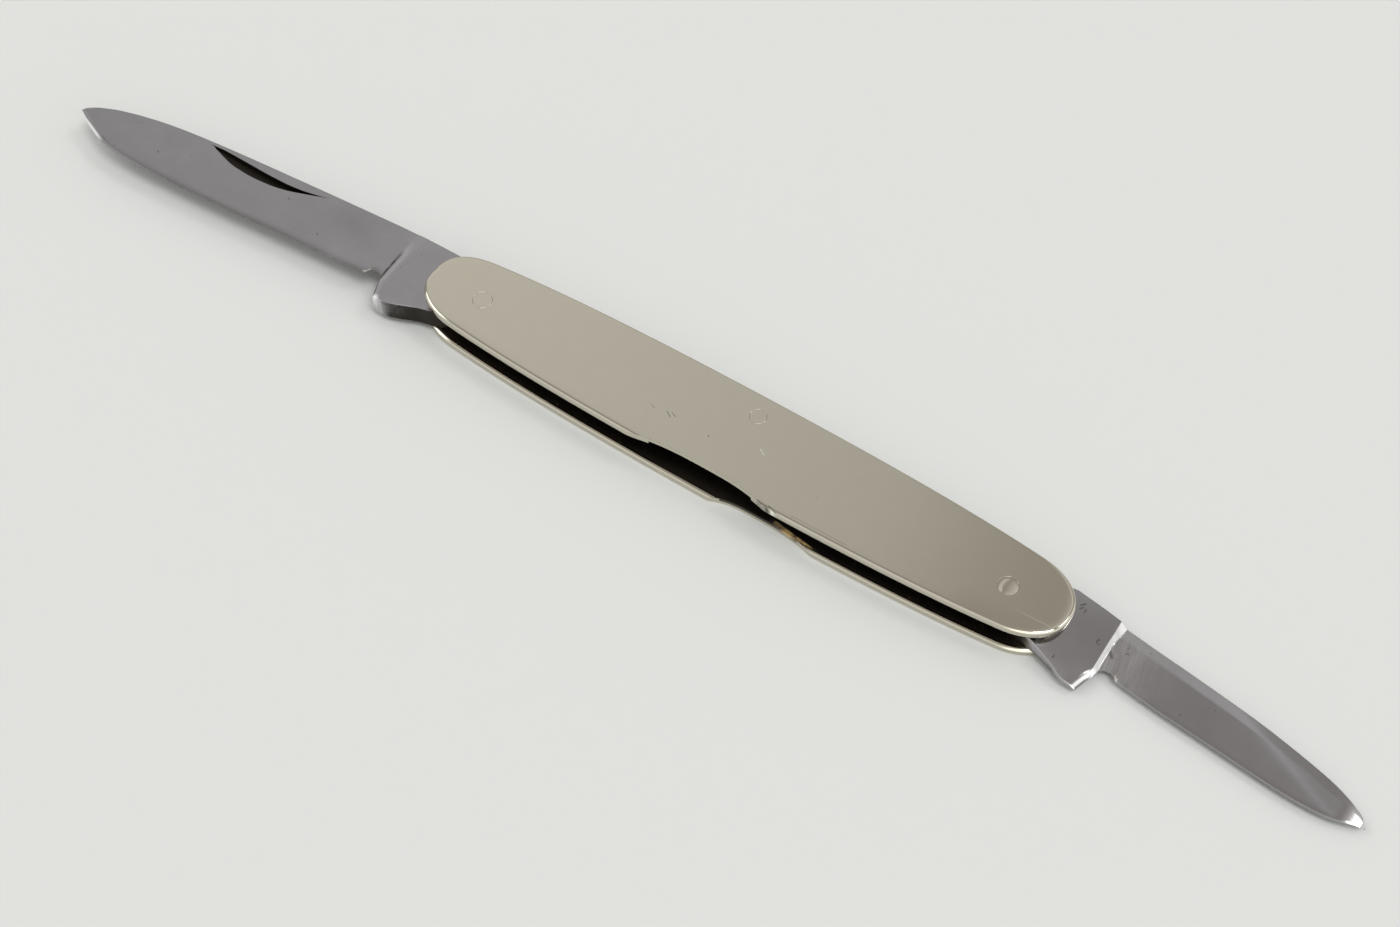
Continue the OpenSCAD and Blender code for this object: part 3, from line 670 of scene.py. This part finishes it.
def pen_ring(b, s, tang):
    """One cross-section of the pen blade, round from the spine over the mark side, with its wear."""
    low, shoulder = b.tang_low, PEN.shoulder
    lower, upper, join, wide, part, ridge, bevel = section(PEN, b, s, tang)
    swedge = b.swedge * min(1, wide / 3.6)
    root = low + b.pen_thickness
    nail = nail_mark(PEN, s, join, upper, PEN_NAIL_DEPTH)
    spine_corner = (b.corner if tang else 0.05) * part
    edge_corner = b.corner if tang else 0.02 * part

    def band(t):
        """Where the shoulder's slope begins at t, and how long it is"""
        return shoulder - 0.4 - 0.2 * ease(-2.2, -3.2, t), mix(0.42, 0.75, ease(0.8, 3.4, t))

    def mark(t):
        flat = root - (ridge - t) * b.pen_fall
        taper = root - 0.2 - 0.045 * (s - 28) - 0.05 * max(0, s - 36.4) ** 2
        ground = -0.04 * math.log(math.exp(-flat / 0.04) + math.exp(-taper / 0.04))
        rise = b.pen_step
        if t < join:
            rise = mix(0.3, rise, ease(-3.4, -2.1, t))
            flat = root + b.pen_step - rise - (ridge - t) * b.pen_fall
        if tang:
            flat += max(0, PEN.slant_from - t) * (b.pen_fall - 0.06)
        begin, run = band(t)
        share = min(1, max(0, (s - begin) / run))
        step = rise * (1 - share)
        bevelled = max(0, t - upper + swedge) * mix(0.16, 0.34, ease(34, 37.5, s)) * share
        end = begin + slant(PEN, begin, t)
        high = min(1, max(0, (s + slant(PEN, s, t) - 1) / (end - 1)))
        boss = mix(b.tang_high, flat + step, high)
        z = (boss if tang else ground + step) - bevelled
        return max(low + 0.06, z if tang else z - max(0, 1 - (t - lower) / bevel) * 0.015 * part)

    def wear(t, z, wall):
        """Dirt and painted shade, grinding streaks, and polished metal with painted highlights at a point;
        wall is True on the blade's narrow sides
        """
        above = z > low + 0.1
        # Painted shade with some dirt: the bottom of the tang's walls darker towards the handle, and
        # everything darker inside it
        dirt_and_shade = 0.5 * fade(8.0, 9.0, s) if wall and tang and z < low + 0.2 else 0
        dirt_and_shade = max(dirt_and_shade, 0.6 * fade(3.8, 5.2, s))
        streaks = 0 if tang else fade(shoulder + 1, shoulder + 9, s)
        # Painted highlights: on the shoulder's slope, at the tip, a sheen on the tang's walls, and a glint
        # where the edge starts
        begin, run = band(t)
        slope = ease(begin - 0.05, begin + 0.02, s) * fade(begin + run, begin + run + 0.1, s) * above
        slope *= 0.25 + 0.25 * ease(1.2, 2.8, t) + 0.75 * ease(-1.6, -2.5, t)
        glint_and_polish = max(slope, 0.8 * ease(36.8, 38.2, s) if z > low + 0.05 else 0)
        if above and tang and wall:
            glint_and_polish = max(glint_and_polish, 0.15 * ease(3, 4, s))
        if above and not tang and t < lower + 0.2:
            glint_and_polish = max(glint_and_polish, fade(0.1, 0.3, abs(s - shoulder - 1.9)))
        return dirt_and_shade, streaks * (1 - slope), glint_and_polish

    extra = spread([join, lower + edge_corner], [6])[1:] if tang else [lower] * 6
    start = join + 0.01 * part
    foot = upper - max(swedge, spine_corner * 2)
    rows = spread([upper - spine_corner, foot, join + bevel, start], [6, 22, 2]) + extra
    back = extra[::-1] + spread([start, join + bevel, *nail[2::-1], upper - spine_corner], [2, 8, 8, 3, 4])
    ring = [(upper, mark(upper) - spine_corner, True)]
    ring += [(t, mark(t), False) for t in rows]
    ring += [(lower, max(low + 0.04, mark(lower) - edge_corner), True), (lower, low + 0.02, True)]
    ring += [(t, low + scooped(t, nail), False) for t in back]
    ring.append((upper, low + spine_corner, True))
    return [(s + slant(PEN, s, t), t, z) + wear(t, z, wall) for t, z, wall in ring]


def blade_mesh(lines, ring_of, b, pivot, side):
    tang, ground = blade_stations(lines)
    rings = [ring_of(b, s, True) for s in tang] + [ring_of(b, s, False) for s in ground]
    return loft([[(pivot + side * p[0],) + p[1:] for p in ring] for ring in rings])


def spring_outline(h, pivot):
    """Outline of the back spring: the handle's back, and an underside that clears both tangs."""
    tip = pivot + TANG_STEP - SPRING_END_GAP
    along = [-tip * math.cos(math.pi * k / 80) for k in range(81)]
    right = [(tip, SPRING_END_HEIGHT)] + [(pivot - inwards, y) for inwards, y in SPRING_UNDERSIDE]
    left = [(-x, y) for x, y in reversed(right)]
    return [(x, back_line(h, x, 0.05)) for x in along] + right + SPRING_LUG + left


def spring_mesh(h, pivot):
    low = h.sheet + h.liner
    bm = bmesh.new()
    base = bm.faces.new([bm.verts.new((x, y, low)) for x, y in spring_outline(h, pivot)])
    grown = bmesh.ops.extrude_face_region(bm, geom=[base], use_keep_orig=True)["geom"]
    raised = [part for part in grown if isinstance(part, bmesh.types.BMVert)]
    bmesh.ops.translate(bm, vec=(0, 0, h.height - 2 * low), verts=raised)
    bmesh.ops.recalc_face_normals(bm, faces=bm.faces)
    worn_corners(bm, [e for e in bm.edges if abs(e.verts[0].co.z - e.verts[1].co.z) < 1e-6], 2)
    return bm


class Tree:
    """Short ways to add and join shader nodes."""

    def __init__(self, tree):
        self.tree = tree
        tree.nodes.clear()

    def link(self, value, socket):
        """Sets a socket to a value, or joins another node's output to it."""
        if isinstance(value, bpy.types.NodeSocket):
            self.tree.links.new(value, socket)
        else:
            socket.default_value = value

    def add(self, kind, **inputs):
        """Adds a node: _name sets a property, i0, i1 ... an input by its number, any other name an input."""
        node = self.tree.nodes.new(kind)
        for key in [key for key in inputs if key[0] == "_"]:
            setattr(node, key[1:], inputs.pop(key))
        for key, value in inputs.items():
            numbered = key[0] == "i" and key[1:].isdigit()
            self.link(value, node.inputs[int(key[1:]) if numbered else key.replace("_", " ")])
        return node

    def math(self, operation, a, b=0.0, c=0.0):
        return self.add("ShaderNodeMath", _operation=operation, i0=a, i1=b, i2=c).outputs[0]

    def plus(self, a, b):
        return self.math("ADD", a, b)

    def minus(self, a, b):
        return self.math("SUBTRACT", a, b)

    def times(self, *values):
        return reduce(lambda a, b: self.math("MULTIPLY", a, b), values)

    def most(self, *values):
        return reduce(lambda a, b: self.math("MAXIMUM", a, b), values)

    def noise(self, vector, scale, detail=2.0, rough=0.5):
        node = self.add("ShaderNodeTexNoise", Vector=vector, Scale=scale, Detail=detail, Roughness=rough)
        return node.outputs["Fac"]

    def remap(self, value, low, high, to_low=0.0, to_high=1.0, kind="LINEAR"):
        return self.add("ShaderNodeMapRange", _interpolation_type=kind, i0=value, i1=low, i2=high, i3=to_low,
                        i4=to_high).outputs[0]

    def soft(self, value, low, high, to_low=0.0, to_high=1.0):
        return self.remap(value, low, high, to_low, to_high, "SMOOTHSTEP")

    def stretch(self, vector, scale, turn=0.0):
        return self.add("ShaderNodeMapping", Vector=vector, Scale=scale, Rotation=(0, 0, turn)).outputs[0]

    def place(self, flat=False):
        """Place on the knife in millimetres, if flat without its height."""
        own = self.add("ShaderNodeTexCoord").outputs["Object"]
        return self.stretch(own, (1000, 1000, 0 if flat else 1000))

    def apart(self, vector):
        return self.add("ShaderNodeSeparateXYZ", Vector=vector).outputs

    def vector(self, operation, a, b=None, output="Vector", **more):
        given = {"i0": a} if b is None else {"i0": a, "i1": b}
        return self.add("ShaderNodeVectorMath", _operation=operation, **given, **more).outputs[output]

    def blend(self, fac, a, b):
        return self.add("ShaderNodeMix", _data_type="RGBA", i0=fac, i6=a, i7=b).outputs[2]

    def group(self, name, **inputs):
        return self.add("ShaderNodeGroup", _node_tree=node_group(name), **inputs)


def handling_wear(tree, given):
    """Handling wear on polished metal: fine scratches, sparse nicks and soft waves."""
    place = tree.place()
    ways = ((0.5, 9.0), (-0.35, 11.0), (1.9, 8.0), (0.08, 14.0))
    lines = [tree.noise(tree.stretch(place, (0.22, thin, 1.0), turn), 1.0) for turn, thin in ways]
    scratch = tree.most(*[tree.remap(line, 0.66, 0.74) for line in lines])
    patch = tree.remap(tree.noise(place, 0.35), 0.42, 0.62)
    scratches = tree.times(scratch, patch, given["Scratches"])
    waves = tree.times(tree.noise(tree.stretch(place, (0.09, 0.22, 0.22)), 1.0, 1.0), given["Waves"])
    smudge = tree.noise(place, 0.5, 4.0, 0.6)
    rough = tree.plus(given["Gloss"], tree.remap(smudge, 0.35, 0.75, 0.0, 0.03))
    return {"Height": tree.minus(waves, tree.times(scratches, 0.001)),
            "Roughness": tree.plus(rough, tree.times(scratches, 0.12)), "Stain": smudge}


def grinding_grain(tree, given):
    """Grinding lines across a blade, with sparse dark pits."""
    place = tree.place()
    turned = tree.add("ShaderNodeVectorRotate", _rotation_type="Z_AXIS", Vector=place, Angle=given["Lean"])
    fine = tree.noise(tree.stretch(turned.outputs[0], (14.0, 0.7, 1.0)), 1.0, 3.0, 0.6)
    coarse = tree.noise(tree.stretch(turned.outputs[0], (3.0, 0.3, 1.0)), 1.0)
    lines = tree.plus(tree.times(fine, 0.6), tree.times(coarse, 0.4))
    spots = tree.add("ShaderNodeTexVoronoi", _feature="F1", Vector=place, Scale=0.9, Randomness=1.0)
    near = tree.remap(spots.outputs["Distance"], 0.05, 0.16, 1.0, 0.0)
    pits = tree.times(near, tree.remap(tree.noise(place, 0.45), 0.56, 0.62), given["Pits"])
    height = tree.times(lines, tree.times(given["Grain"], 0.002))
    rough = tree.plus(given["Gloss"], tree.times(tree.minus(lines, 0.5), given["Grain"]))
    return {"Height": tree.minus(height, tree.times(pits, 0.003)),
            "Roughness": tree.plus(rough, tree.times(pits, 0.2)),
            "Stain": tree.noise(place, 0.28, 5.0, 0.65), "Pit mask": pits}


def stroke(tree, given):
    """A short stroke between two places, as a mask with soft sides."""
    reach = tree.vector("SUBTRACT", given["To"], given["From"])
    away = tree.vector("SUBTRACT", given["Place"], given["From"])
    share = tree.math("DIVIDE", tree.vector("DOT_PRODUCT", away, reach, "Value"),
                      tree.vector("DOT_PRODUCT", reach, reach, "Value"))
    nearest = tree.vector("SCALE", reach, Scale=tree.remap(share, 0, 1))
    gap = tree.vector("LENGTH", tree.vector("SUBTRACT", away, nearest), output="Value")
    return {"Mask": tree.soft(tree.math("DIVIDE", gap, given["Width"]), 0.2, 1, 1, 0)}


# Each node group's inputs at their defaults, and what fills it and gives its outputs
NODE_GROUPS = {
    "handling wear": ({"Scratches": 0.5, "Waves": 0.5, "Gloss": 0.15}, handling_wear),
    "grinding grain": ({"Lean": 0.2, "Grain": 0.5, "Pits": 0.5, "Gloss": 0.25}, grinding_grain),
    "stroke": ({"Place": (0, 0, 0), "From": (0, 0, 0), "To": (1, 0, 0), "Width": 0.1}, stroke),
}


def node_group(name):
    """The named node group, which is built the first time that it is asked for."""
    if name in bpy.data.node_groups:
        return bpy.data.node_groups[name]
    group = bpy.data.node_groups.new(name, "ShaderNodeTree")
    inputs, fill = NODE_GROUPS[name]
    for label, default in inputs.items():
        kind = "NodeSocketVector" if isinstance(default, tuple) else "NodeSocketFloat"
        group.interface.new_socket(name=label, in_out="INPUT", socket_type=kind).default_value = default
    tree = Tree(group)
    made = fill(tree, tree.add("NodeGroupInput").outputs)
    for label in made:
        group.interface.new_socket(name=label, in_out="OUTPUT", socket_type="NodeSocketFloat")
    end = tree.add("NodeGroupOutput")
    for label, value in made.items():
        tree.link(value, end.inputs[label])
    return group


def strokes(tree, place, marks):
    """The strongest of several strokes."""
    nodes = [tree.group("stroke", Place=place, From=(x0, y0, 0), To=(x1, y1, 0), Width=width)
             for x0, y0, x1, y1, width in marks]
    return tree.most(*[node.outputs[0] for node in nodes])


def new_material(name):
    material = bpy.data.materials.new(name)
    material.use_nodes = True
    return material, Tree(material.node_tree)


def close_material(tree, colour, rough, height, metallic=1.0):
    """Finishes a material; height is in millimetres."""
    normal = tree.add("ShaderNodeBump", Strength=1.0, Distance=MM, Height=height).outputs[0]
    shader = tree.add("ShaderNodeBsdfPrincipled", Base_Color=colour, Roughness=rough, Metallic=metallic,
                      Normal=normal)
    tree.add("ShaderNodeOutputMaterial", Surface=shader.outputs[0])


def rgba(colour, share=1.0):
    return (colour[0] * share, colour[1] * share, colour[2] * share, 1.0)


def nickel_silver_material(with_marks=False):
    """Mirror-polished metal with hairline scratches; with_marks adds the nicks and the crease of the mark
    side.
    """
    name = "nickel silver face" if with_marks else "nickel silver"
    made = bpy.data.materials.get(name)
    if made:
        return made
    metal = settings().finish.nickel_silver
    material, tree = new_material(name)
    wear = tree.group("handling wear", Scratches=0.12, Waves=0.004, Gloss=0.07).outputs
    colour = tree.blend(tree.remap(wear["Stain"], 0.35, 0.7), rgba(metal), rgba(metal, 0.985))
    height, rough = wear["Height"], wear["Roughness"]
    if with_marks:
        place = tree.place(flat=True)
        x, y, _ = tree.apart(place)
        nicks = tree.most(strokes(tree, place, NICKS), tree.times(strokes(tree, place, FAINT_NICKS), 0.4),
                          strokes(tree, place, RIM_CHIP), tree.times(strokes(tree, place, RIM_SMEAR), 0.45))
        crease = tree.times(strokes(tree, place, CREASE), tree.soft(x, 31.8, 35.5))
        for mask, shade in ((tree.times(strokes(tree, place, SOLDER_LINE), 0.5), SOLDER),
                            (nicks, rgba(metal, 0.3)), (strokes(tree, place, FLECKS), FLECK),
                            (tree.times(crease, 0.4), CREASED)):
            colour = tree.blend(mask, colour, shade)
        fold = tree.times(tree.most(tree.minus(-1.85, y), 0.0), tree.soft(x, 27, 35, 0, 0.03))
        height = tree.minus(tree.minus(height, fold), tree.times(nicks, 0.01))
        rough = tree.plus(rough, tree.times(nicks, 0.3))
    close_material(tree, colour, rough, height)
    return material


def steel_material(name, colour, lean, grain, pits, gloss, worn=True, spots=()):
    """Ground steel; a blade's own wear colour brings soiling with painted shade, grinding streaks and
    polished facets with painted highlights.
    """
    material, tree = new_material(name)
    grinding = tree.group("grinding grain", Lean=lean, Grain=grain, Pits=pits, Gloss=gloss)
    ground = grinding.outputs
    wear = tree.group("handling wear", Scratches=0.2, Waves=0.008, Gloss=0.0).outputs
    # A soft cloud of slightly darker tone, painted in for the uneven reflection on the steel
    tone = tree.blend(tree.remap(ground["Stain"], 0.35, 0.7), rgba(colour), rgba(colour, 0.93))
    tone = tree.blend(ground["Pit mask"], tone, rgba(colour, 0.2))
    rough = ground["Roughness"]
    if worn:
        # The blade's wear colour: dirt with painted shade, grinding streaks, and polished facets with painted
        # highlights
        own = tree.add("ShaderNodeAttribute", _attribute_name="wear").outputs["Color"]
        dirt_and_shade, streaks, polish_and_highlight = tree.add("ShaderNodeSeparateColor", Color=own).outputs
        tree.link(tree.math("MULTIPLY_ADD", streaks, 0.5, grain), grinding.inputs["Grain"])
        rough = tree.plus(rough, tree.times(streaks, 0.12))
        tone = tree.blend(tree.times(streaks, 0.25), tone, STREAK)
        if spots:
            dark = tree.times(strokes(tree, tree.place(flat=True), spots), 0.6)
            tone = tree.blend(dark, tone, rgba(colour, 0.25))
        # Painted highlights: this lifts the base colour to near white for glints on the kick, tips, heels and
        # the pen blade's shoulder, and a sheen on the tangs' walls
        tone = tree.blend(polish_and_highlight, tone, BRIGHT_POLISH_AND_HIGHLIGHT)
        # Painted shade with grime: the dirt channel, broken up by the cloud noise, darkens the steel towards
        # the grime tone
        shade_and_grime_mask = tree.math("MULTIPLY_ADD", tree.minus(ground["Stain"], 0.5), 1.2, dirt_and_shade)
        shade_and_grime_mask = tree.times(tree.soft(shade_and_grime_mask, 0.15, 0.7), tree.soft(dirt_and_shade, 0, 0.15))
        tone = tree.blend(shade_and_grime_mask, tone, rgba(settings().finish.grime_and_shade, 0.7))
        rough = tree.plus(rough, tree.times(shade_and_grime_mask, 0.25))
    close_material(tree, tone, rough, tree.plus(ground["Height"], wear["Height"]))
    return material


def brass_material():
    """Brass darkened by soiling and painted shade, with a cleaner and brighter strip along the mark side's
    lip.
    """
    finish = settings().finish
    material, tree = new_material("old brass")
    wear = tree.group("handling wear", Scratches=0.4, Waves=0.01, Gloss=0.35).outputs
    place = tree.place()
    x, y, _ = tree.apart(place)
    lip = tree.math("MULTIPLY_ADD", x, 0.143, y)
    clean_and_unshaded = tree.times(tree.soft(x, 6.8, 8.5, 0, 0.28), tree.soft(x, 11.2, 13.8, 1, 0),
                       tree.soft(lip, -3.2, -3.02, 1, 0))
    # Painted shade with dirt: the slot's brass is darkened almost to the grime tone, except on the strip
    # along the lip
    dirt_and_shade = tree.remap(tree.minus(tree.noise(place, 0.8, 4.0), clean_and_unshaded), 0.16, 0.34)
    colour = tree.blend(dirt_and_shade, rgba(finish.brass), rgba(finish.grime_and_shade, 2))
    bare = tree.math("MULTIPLY_ADD", clean_and_unshaded, -3.2, 1.0)
    close_material(tree, colour, wear["Roughness"], wear["Height"], metallic=bare)
    return material


class PENKNIFE_OT_shells(Operator):
    """Builds the two pressed nickel silver shells"""
    bl_idname = "pen_knife.shells"
    bl_label = "Shells"

    def execute(self, context):
        h, pins = sizes("handle"), sizes("pins")
        mark = shell_mesh(h, pins, mark_scallop(h), h.rim_round, MARK_LIP)
        x, y, radius, depth = NOSE_DENT
        for vert in mark.verts:
            vert.co.x += depth * max(0, 1 - math.hypot(vert.co.x - x, vert.co.y - y) / radius)
        bmesh.ops.translate(mark, vec=(0, 0, h.height - h.sheet - h.liner), verts=mark.verts)
        finished_piece("mark_shell", mark, "handle", "mark_side_shell",
                       nickel_silver_material(with_marks=True))
        pile = shell_mesh(h, pins, pile_scallop(h), h.pile_rim_round, PILE_LIP)
        push_front(pile, h.pile_front)
        bmesh.ops.scale(pile, vec=(1, 1, -1), verts=pile.verts)
        bmesh.ops.translate(pile, vec=(0, 0, h.sheet + h.liner), verts=pile.verts)
        finished_piece("pile_shell", pile, "handle", "pile_side_shell",
                       nickel_silver_material())
        return {"FINISHED"}


class PENKNIFE_OT_liners(Operator):
    """Builds the pile side liner and gives both liners their finish"""
    bl_idname = "pen_knife.liners"
    bl_label = "Liners"

    def execute(self, context):
        h = sizes("handle")
        brass = brass_material()
        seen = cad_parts["mark_side_liner"].data.materials
        seen.clear()
        seen.append(brass)
        pile = liner_mesh(h, sizes("pins"), pile_scallop(h))
        push_front(pile, h.pile_front)
        finished_piece("pile_liner", pile, "handle", "pile_side_liner", brass)
        return {"FINISHED"}


class PENKNIFE_OT_spring(Operator):
    """Builds the back spring"""
    bl_idname = "pen_knife.spring"
    bl_label = "Back spring"

    def execute(self, context):
        colour = settings().finish.spring_steel
        steel = steel_material("spring steel", colour, lean=1.5, grain=0.2, pits=0.4, gloss=0.25, worn=False)
        spring = spring_mesh(sizes("handle"), sizes("pins").pivot)
        finished_piece("spring", spring, "handle", "backspring", steel)
        return {"FINISHED"}


class PENKNIFE_OT_blades(Operator):
    """Builds the main blade and the pen blade"""
    bl_idname = "pen_knife.blades"
    bl_label = "Blades"

    def execute(self, context):
        b, pivot, finish = sizes("blades"), sizes("pins").pivot, settings().finish
        steel = steel_material("main steel", finish.main_steel, lean=0.1, grain=0.03, pits=0.3, gloss=0.14,
                               spots=MAIN_SPOTS)
        main = blade_mesh(MAIN, main_ring, b, -pivot, -1)
        finished_piece("main_blade_steel", main, "main_blade", "main_blade", steel,
                       BLADE_SMOOTH_BELOW)
        steel = steel_material("pen steel", finish.pen_steel, lean=-0.2, grain=0.06, pits=0.4, gloss=0.14,
                               spots=PEN_SPOTS)
        pen = blade_mesh(PEN, pen_ring, b, pivot, 1)
        finished_piece("pen_blade_steel", pen, "pen_blade", "pen_blade", steel,
                       BLADE_SMOOTH_BELOW)
        return {"FINISHED"}


class PENKNIFE_OT_pins(Operator):
    """Builds the two pivot pins and the spring pin"""
    bl_idname = "pen_knife.pins"
    bl_label = "Pins"

    def execute(self, context):
        pins = sizes("pins")
        kinds = (("main_pin", "main_pivot_pin", 0.0), ("pen_pin", "pen_pivot_pin", pins.dimple),
                 ("middle_pin", "spring_pin", 0.0))
        for (x, y, radius), (name, node, sink) in zip(pin_places(pins), kinds):
            bm = pin_mesh(radius - PIN_GAP, sizes("handle").height, pins.groove, sink)
            bmesh.ops.translate(bm, vec=(x, y, 0), verts=bm.verts)
            finished_piece(name, bm, "handle", node, nickel_silver_material())
        return {"FINISHED"}


def room_world(strength):
    """Light of a room: dim overhead and low behind the knife, bright low in front and on the right."""
    world = bpy.data.worlds.new("room")
    world.use_nodes = True
    tree = Tree(world.node_tree)
    way = tree.add("ShaderNodeTexCoord").outputs["Generated"]
    x, y, z = tree.apart(way)
    soft, times = tree.soft, tree.times

    def lay_over(level, amount, value):
        """level with value laid over it where amount is 1"""
        return tree.plus(times(level, tree.minus(1.0, amount)), times(amount, value))

    def patch(middle, low, high):
        """A round patch of the sky about a way"""
        return soft(tree.vector("DOT_PRODUCT", way, middle, "Value"), low, high)

    # A sky that is dim overhead and brighter behind the knife, with a dip and a step in that band
    dip = times(soft(x, -0.24, -0.15), soft(x, -0.14, -0.08, 1, 0))
    behind = times(soft(x, -0.55, -0.02, 0.8, 0.5), tree.math("MULTIPLY_ADD", dip, -0.22, 1.0),
                   soft(x, -0.85, -0.6, 1.5, 1.0), soft(x, -0.14, -0.08, 1.0, 1.5),
                   soft(x, -0.02, 0.08, 1.0, 0.6))
    sky = lay_over(0.42, soft(y, 0.12, 0.48), behind)
    # What the metal mirrors: a bright band in front, its right side brighter, and a patch on the left
    mirrored = lay_over(sky, soft(y, -0.66, -0.42, 1, 0), 0.88)
    mirrored = lay_over(mirrored, times(soft(x, 0.0, 0.25), soft(y, -0.35, -0.12, 1, 0)), 2.0)
    mirrored = lay_over(mirrored, patch((-0.78, -0.3, 0.55), 0.93, 0.97), 2.6)
    # What lights everything else: the front, and less light low in front
    level = lay_over(sky, soft(y, -0.12, 0.02, 1, 0), 0.8)
    level = lay_over(level, soft(y, -0.62, -0.5, 1, 0), 0.45)
    ray = tree.add("ShaderNodeLightPath").outputs
    level = lay_over(level, ray["Is Glossy Ray"], mirrored)
    # Both see the dim part low behind, the bright part low on the right and the patch on the left
    level = lay_over(level, times(soft(z, 0.3, 0.62, 1, 0), soft(y, 0.1, 0.6), soft(x, 0.05, 0.5, 1, 0)), 0.5)
    level = lay_over(level, times(soft(x, 0.35, 0.8), soft(z, 0.4, 0.7, 1, 0)), 1.3)
    level = lay_over(level, patch((-0.7, -0.12, 0.7), 0.955, 0.985), 2.6)
    tone = tree.blend(soft(level, 0.15, 0.6, 1, 0), BRIGHT_ROOM, DARK_ROOM)
    room = tree.add("ShaderNodeBackground", Color=tone, Strength=times(level, strength))
    plain = tree.add("ShaderNodeBackground", Color=BACKGROUND, Strength=1.0)
    both = tree.add("ShaderNodeMixShader", Fac=ray["Is Camera Ray"], i1=room.outputs[0], i2=plain.outputs[0])
    tree.add("ShaderNodeOutputWorld", Surface=both.outputs[0])
    return world


class PENKNIFE_OT_stage(Operator):
    """Sets the pale floor, the soft light and the camera"""
    bl_idname = "pen_knife.stage"
    bl_label = "Stage"

    def execute(self, context):
        stage, scene = settings().stage, context.scene
        bm = bmesh.new()
        bmesh.ops.create_grid(bm, x_segments=1, y_segments=1, size=1.5)
        floor = new_object("floor", as_mesh(bm, "floor"))
        material, tree = new_material("pale floor")
        shader = tree.add("ShaderNodeBsdfPrincipled", Base_Color=rgba(settings().finish.floor), Roughness=0.9)
        tree.add("ShaderNodeOutputMaterial", Surface=shader.outputs[0])
        floor.data.materials.append(material)

        for name, power, angle, way in (("lamp", stage.lamp_power, stage.lamp_angle, LAMP_WAY),
                                        ("window", stage.window_power, stage.window_angle, WINDOW_WAY)):
            light = bpy.data.lights.new(name, "SUN")
            light.energy = power
            light.angle = angle
            new_object(name, light).rotation_euler = Vector(way).to_track_quat("Z", "Y").to_euler()
        scene.world = room_world(stage.sky_strength)

        lens = bpy.data.cameras.new("camera")
        lens.sensor_width = 36
        lens.lens = LENS
        lens.clip_start = 0.01
        scene.camera = new_object("camera", lens)
        turned = Matrix(CAMERA_WAYS).transposed().to_4x4()
        scene.camera.matrix_world = Matrix.Translation(CAMERA_PLACE) @ turned
        scene.view_settings.view_transform = "Standard"
        return {"FINISHED"}


class VIEW3D_PT_pen_knife(Panel):
    """Lists the steps that build the pen knife"""
    bl_idname = "VIEW3D_PT_pen_knife"
    bl_label = "Pen knife"
    bl_space_type = "VIEW_3D"
    bl_region_type = "UI"
    bl_category = "Pen knife"

    def draw(self, context):
        for step in STEPS:
            self.layout.operator(step.bl_idname)


STEPS = (PENKNIFE_OT_shells, PENKNIFE_OT_liners, PENKNIFE_OT_spring, PENKNIFE_OT_blades, PENKNIFE_OT_pins,
         PENKNIFE_OT_stage)
CLASSES = (PenKnifeHandle, PenKnifePins, PenKnifeBlades, PenKnifeFinish, PenKnifeStage, PenKnifeSettings,
           *STEPS, VIEW3D_PT_pen_knife)


def register():
    for cls in CLASSES:
        bpy.utils.register_class(cls)
    bpy.types.Scene.pen_knife = PointerProperty(type=PenKnifeSettings)


def unregister():
    del bpy.types.Scene.pen_knife
    for cls in reversed(CLASSES):
        bpy.utils.unregister_class(cls)


def main():
    register()
    bpy.ops.pen_knife.shells()
    bpy.ops.pen_knife.liners()
    bpy.ops.pen_knife.spring()
    bpy.ops.pen_knife.blades()
    bpy.ops.pen_knife.pins()
    bpy.ops.pen_knife.stage()
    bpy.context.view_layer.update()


if __name__ == "__main__":
    main()
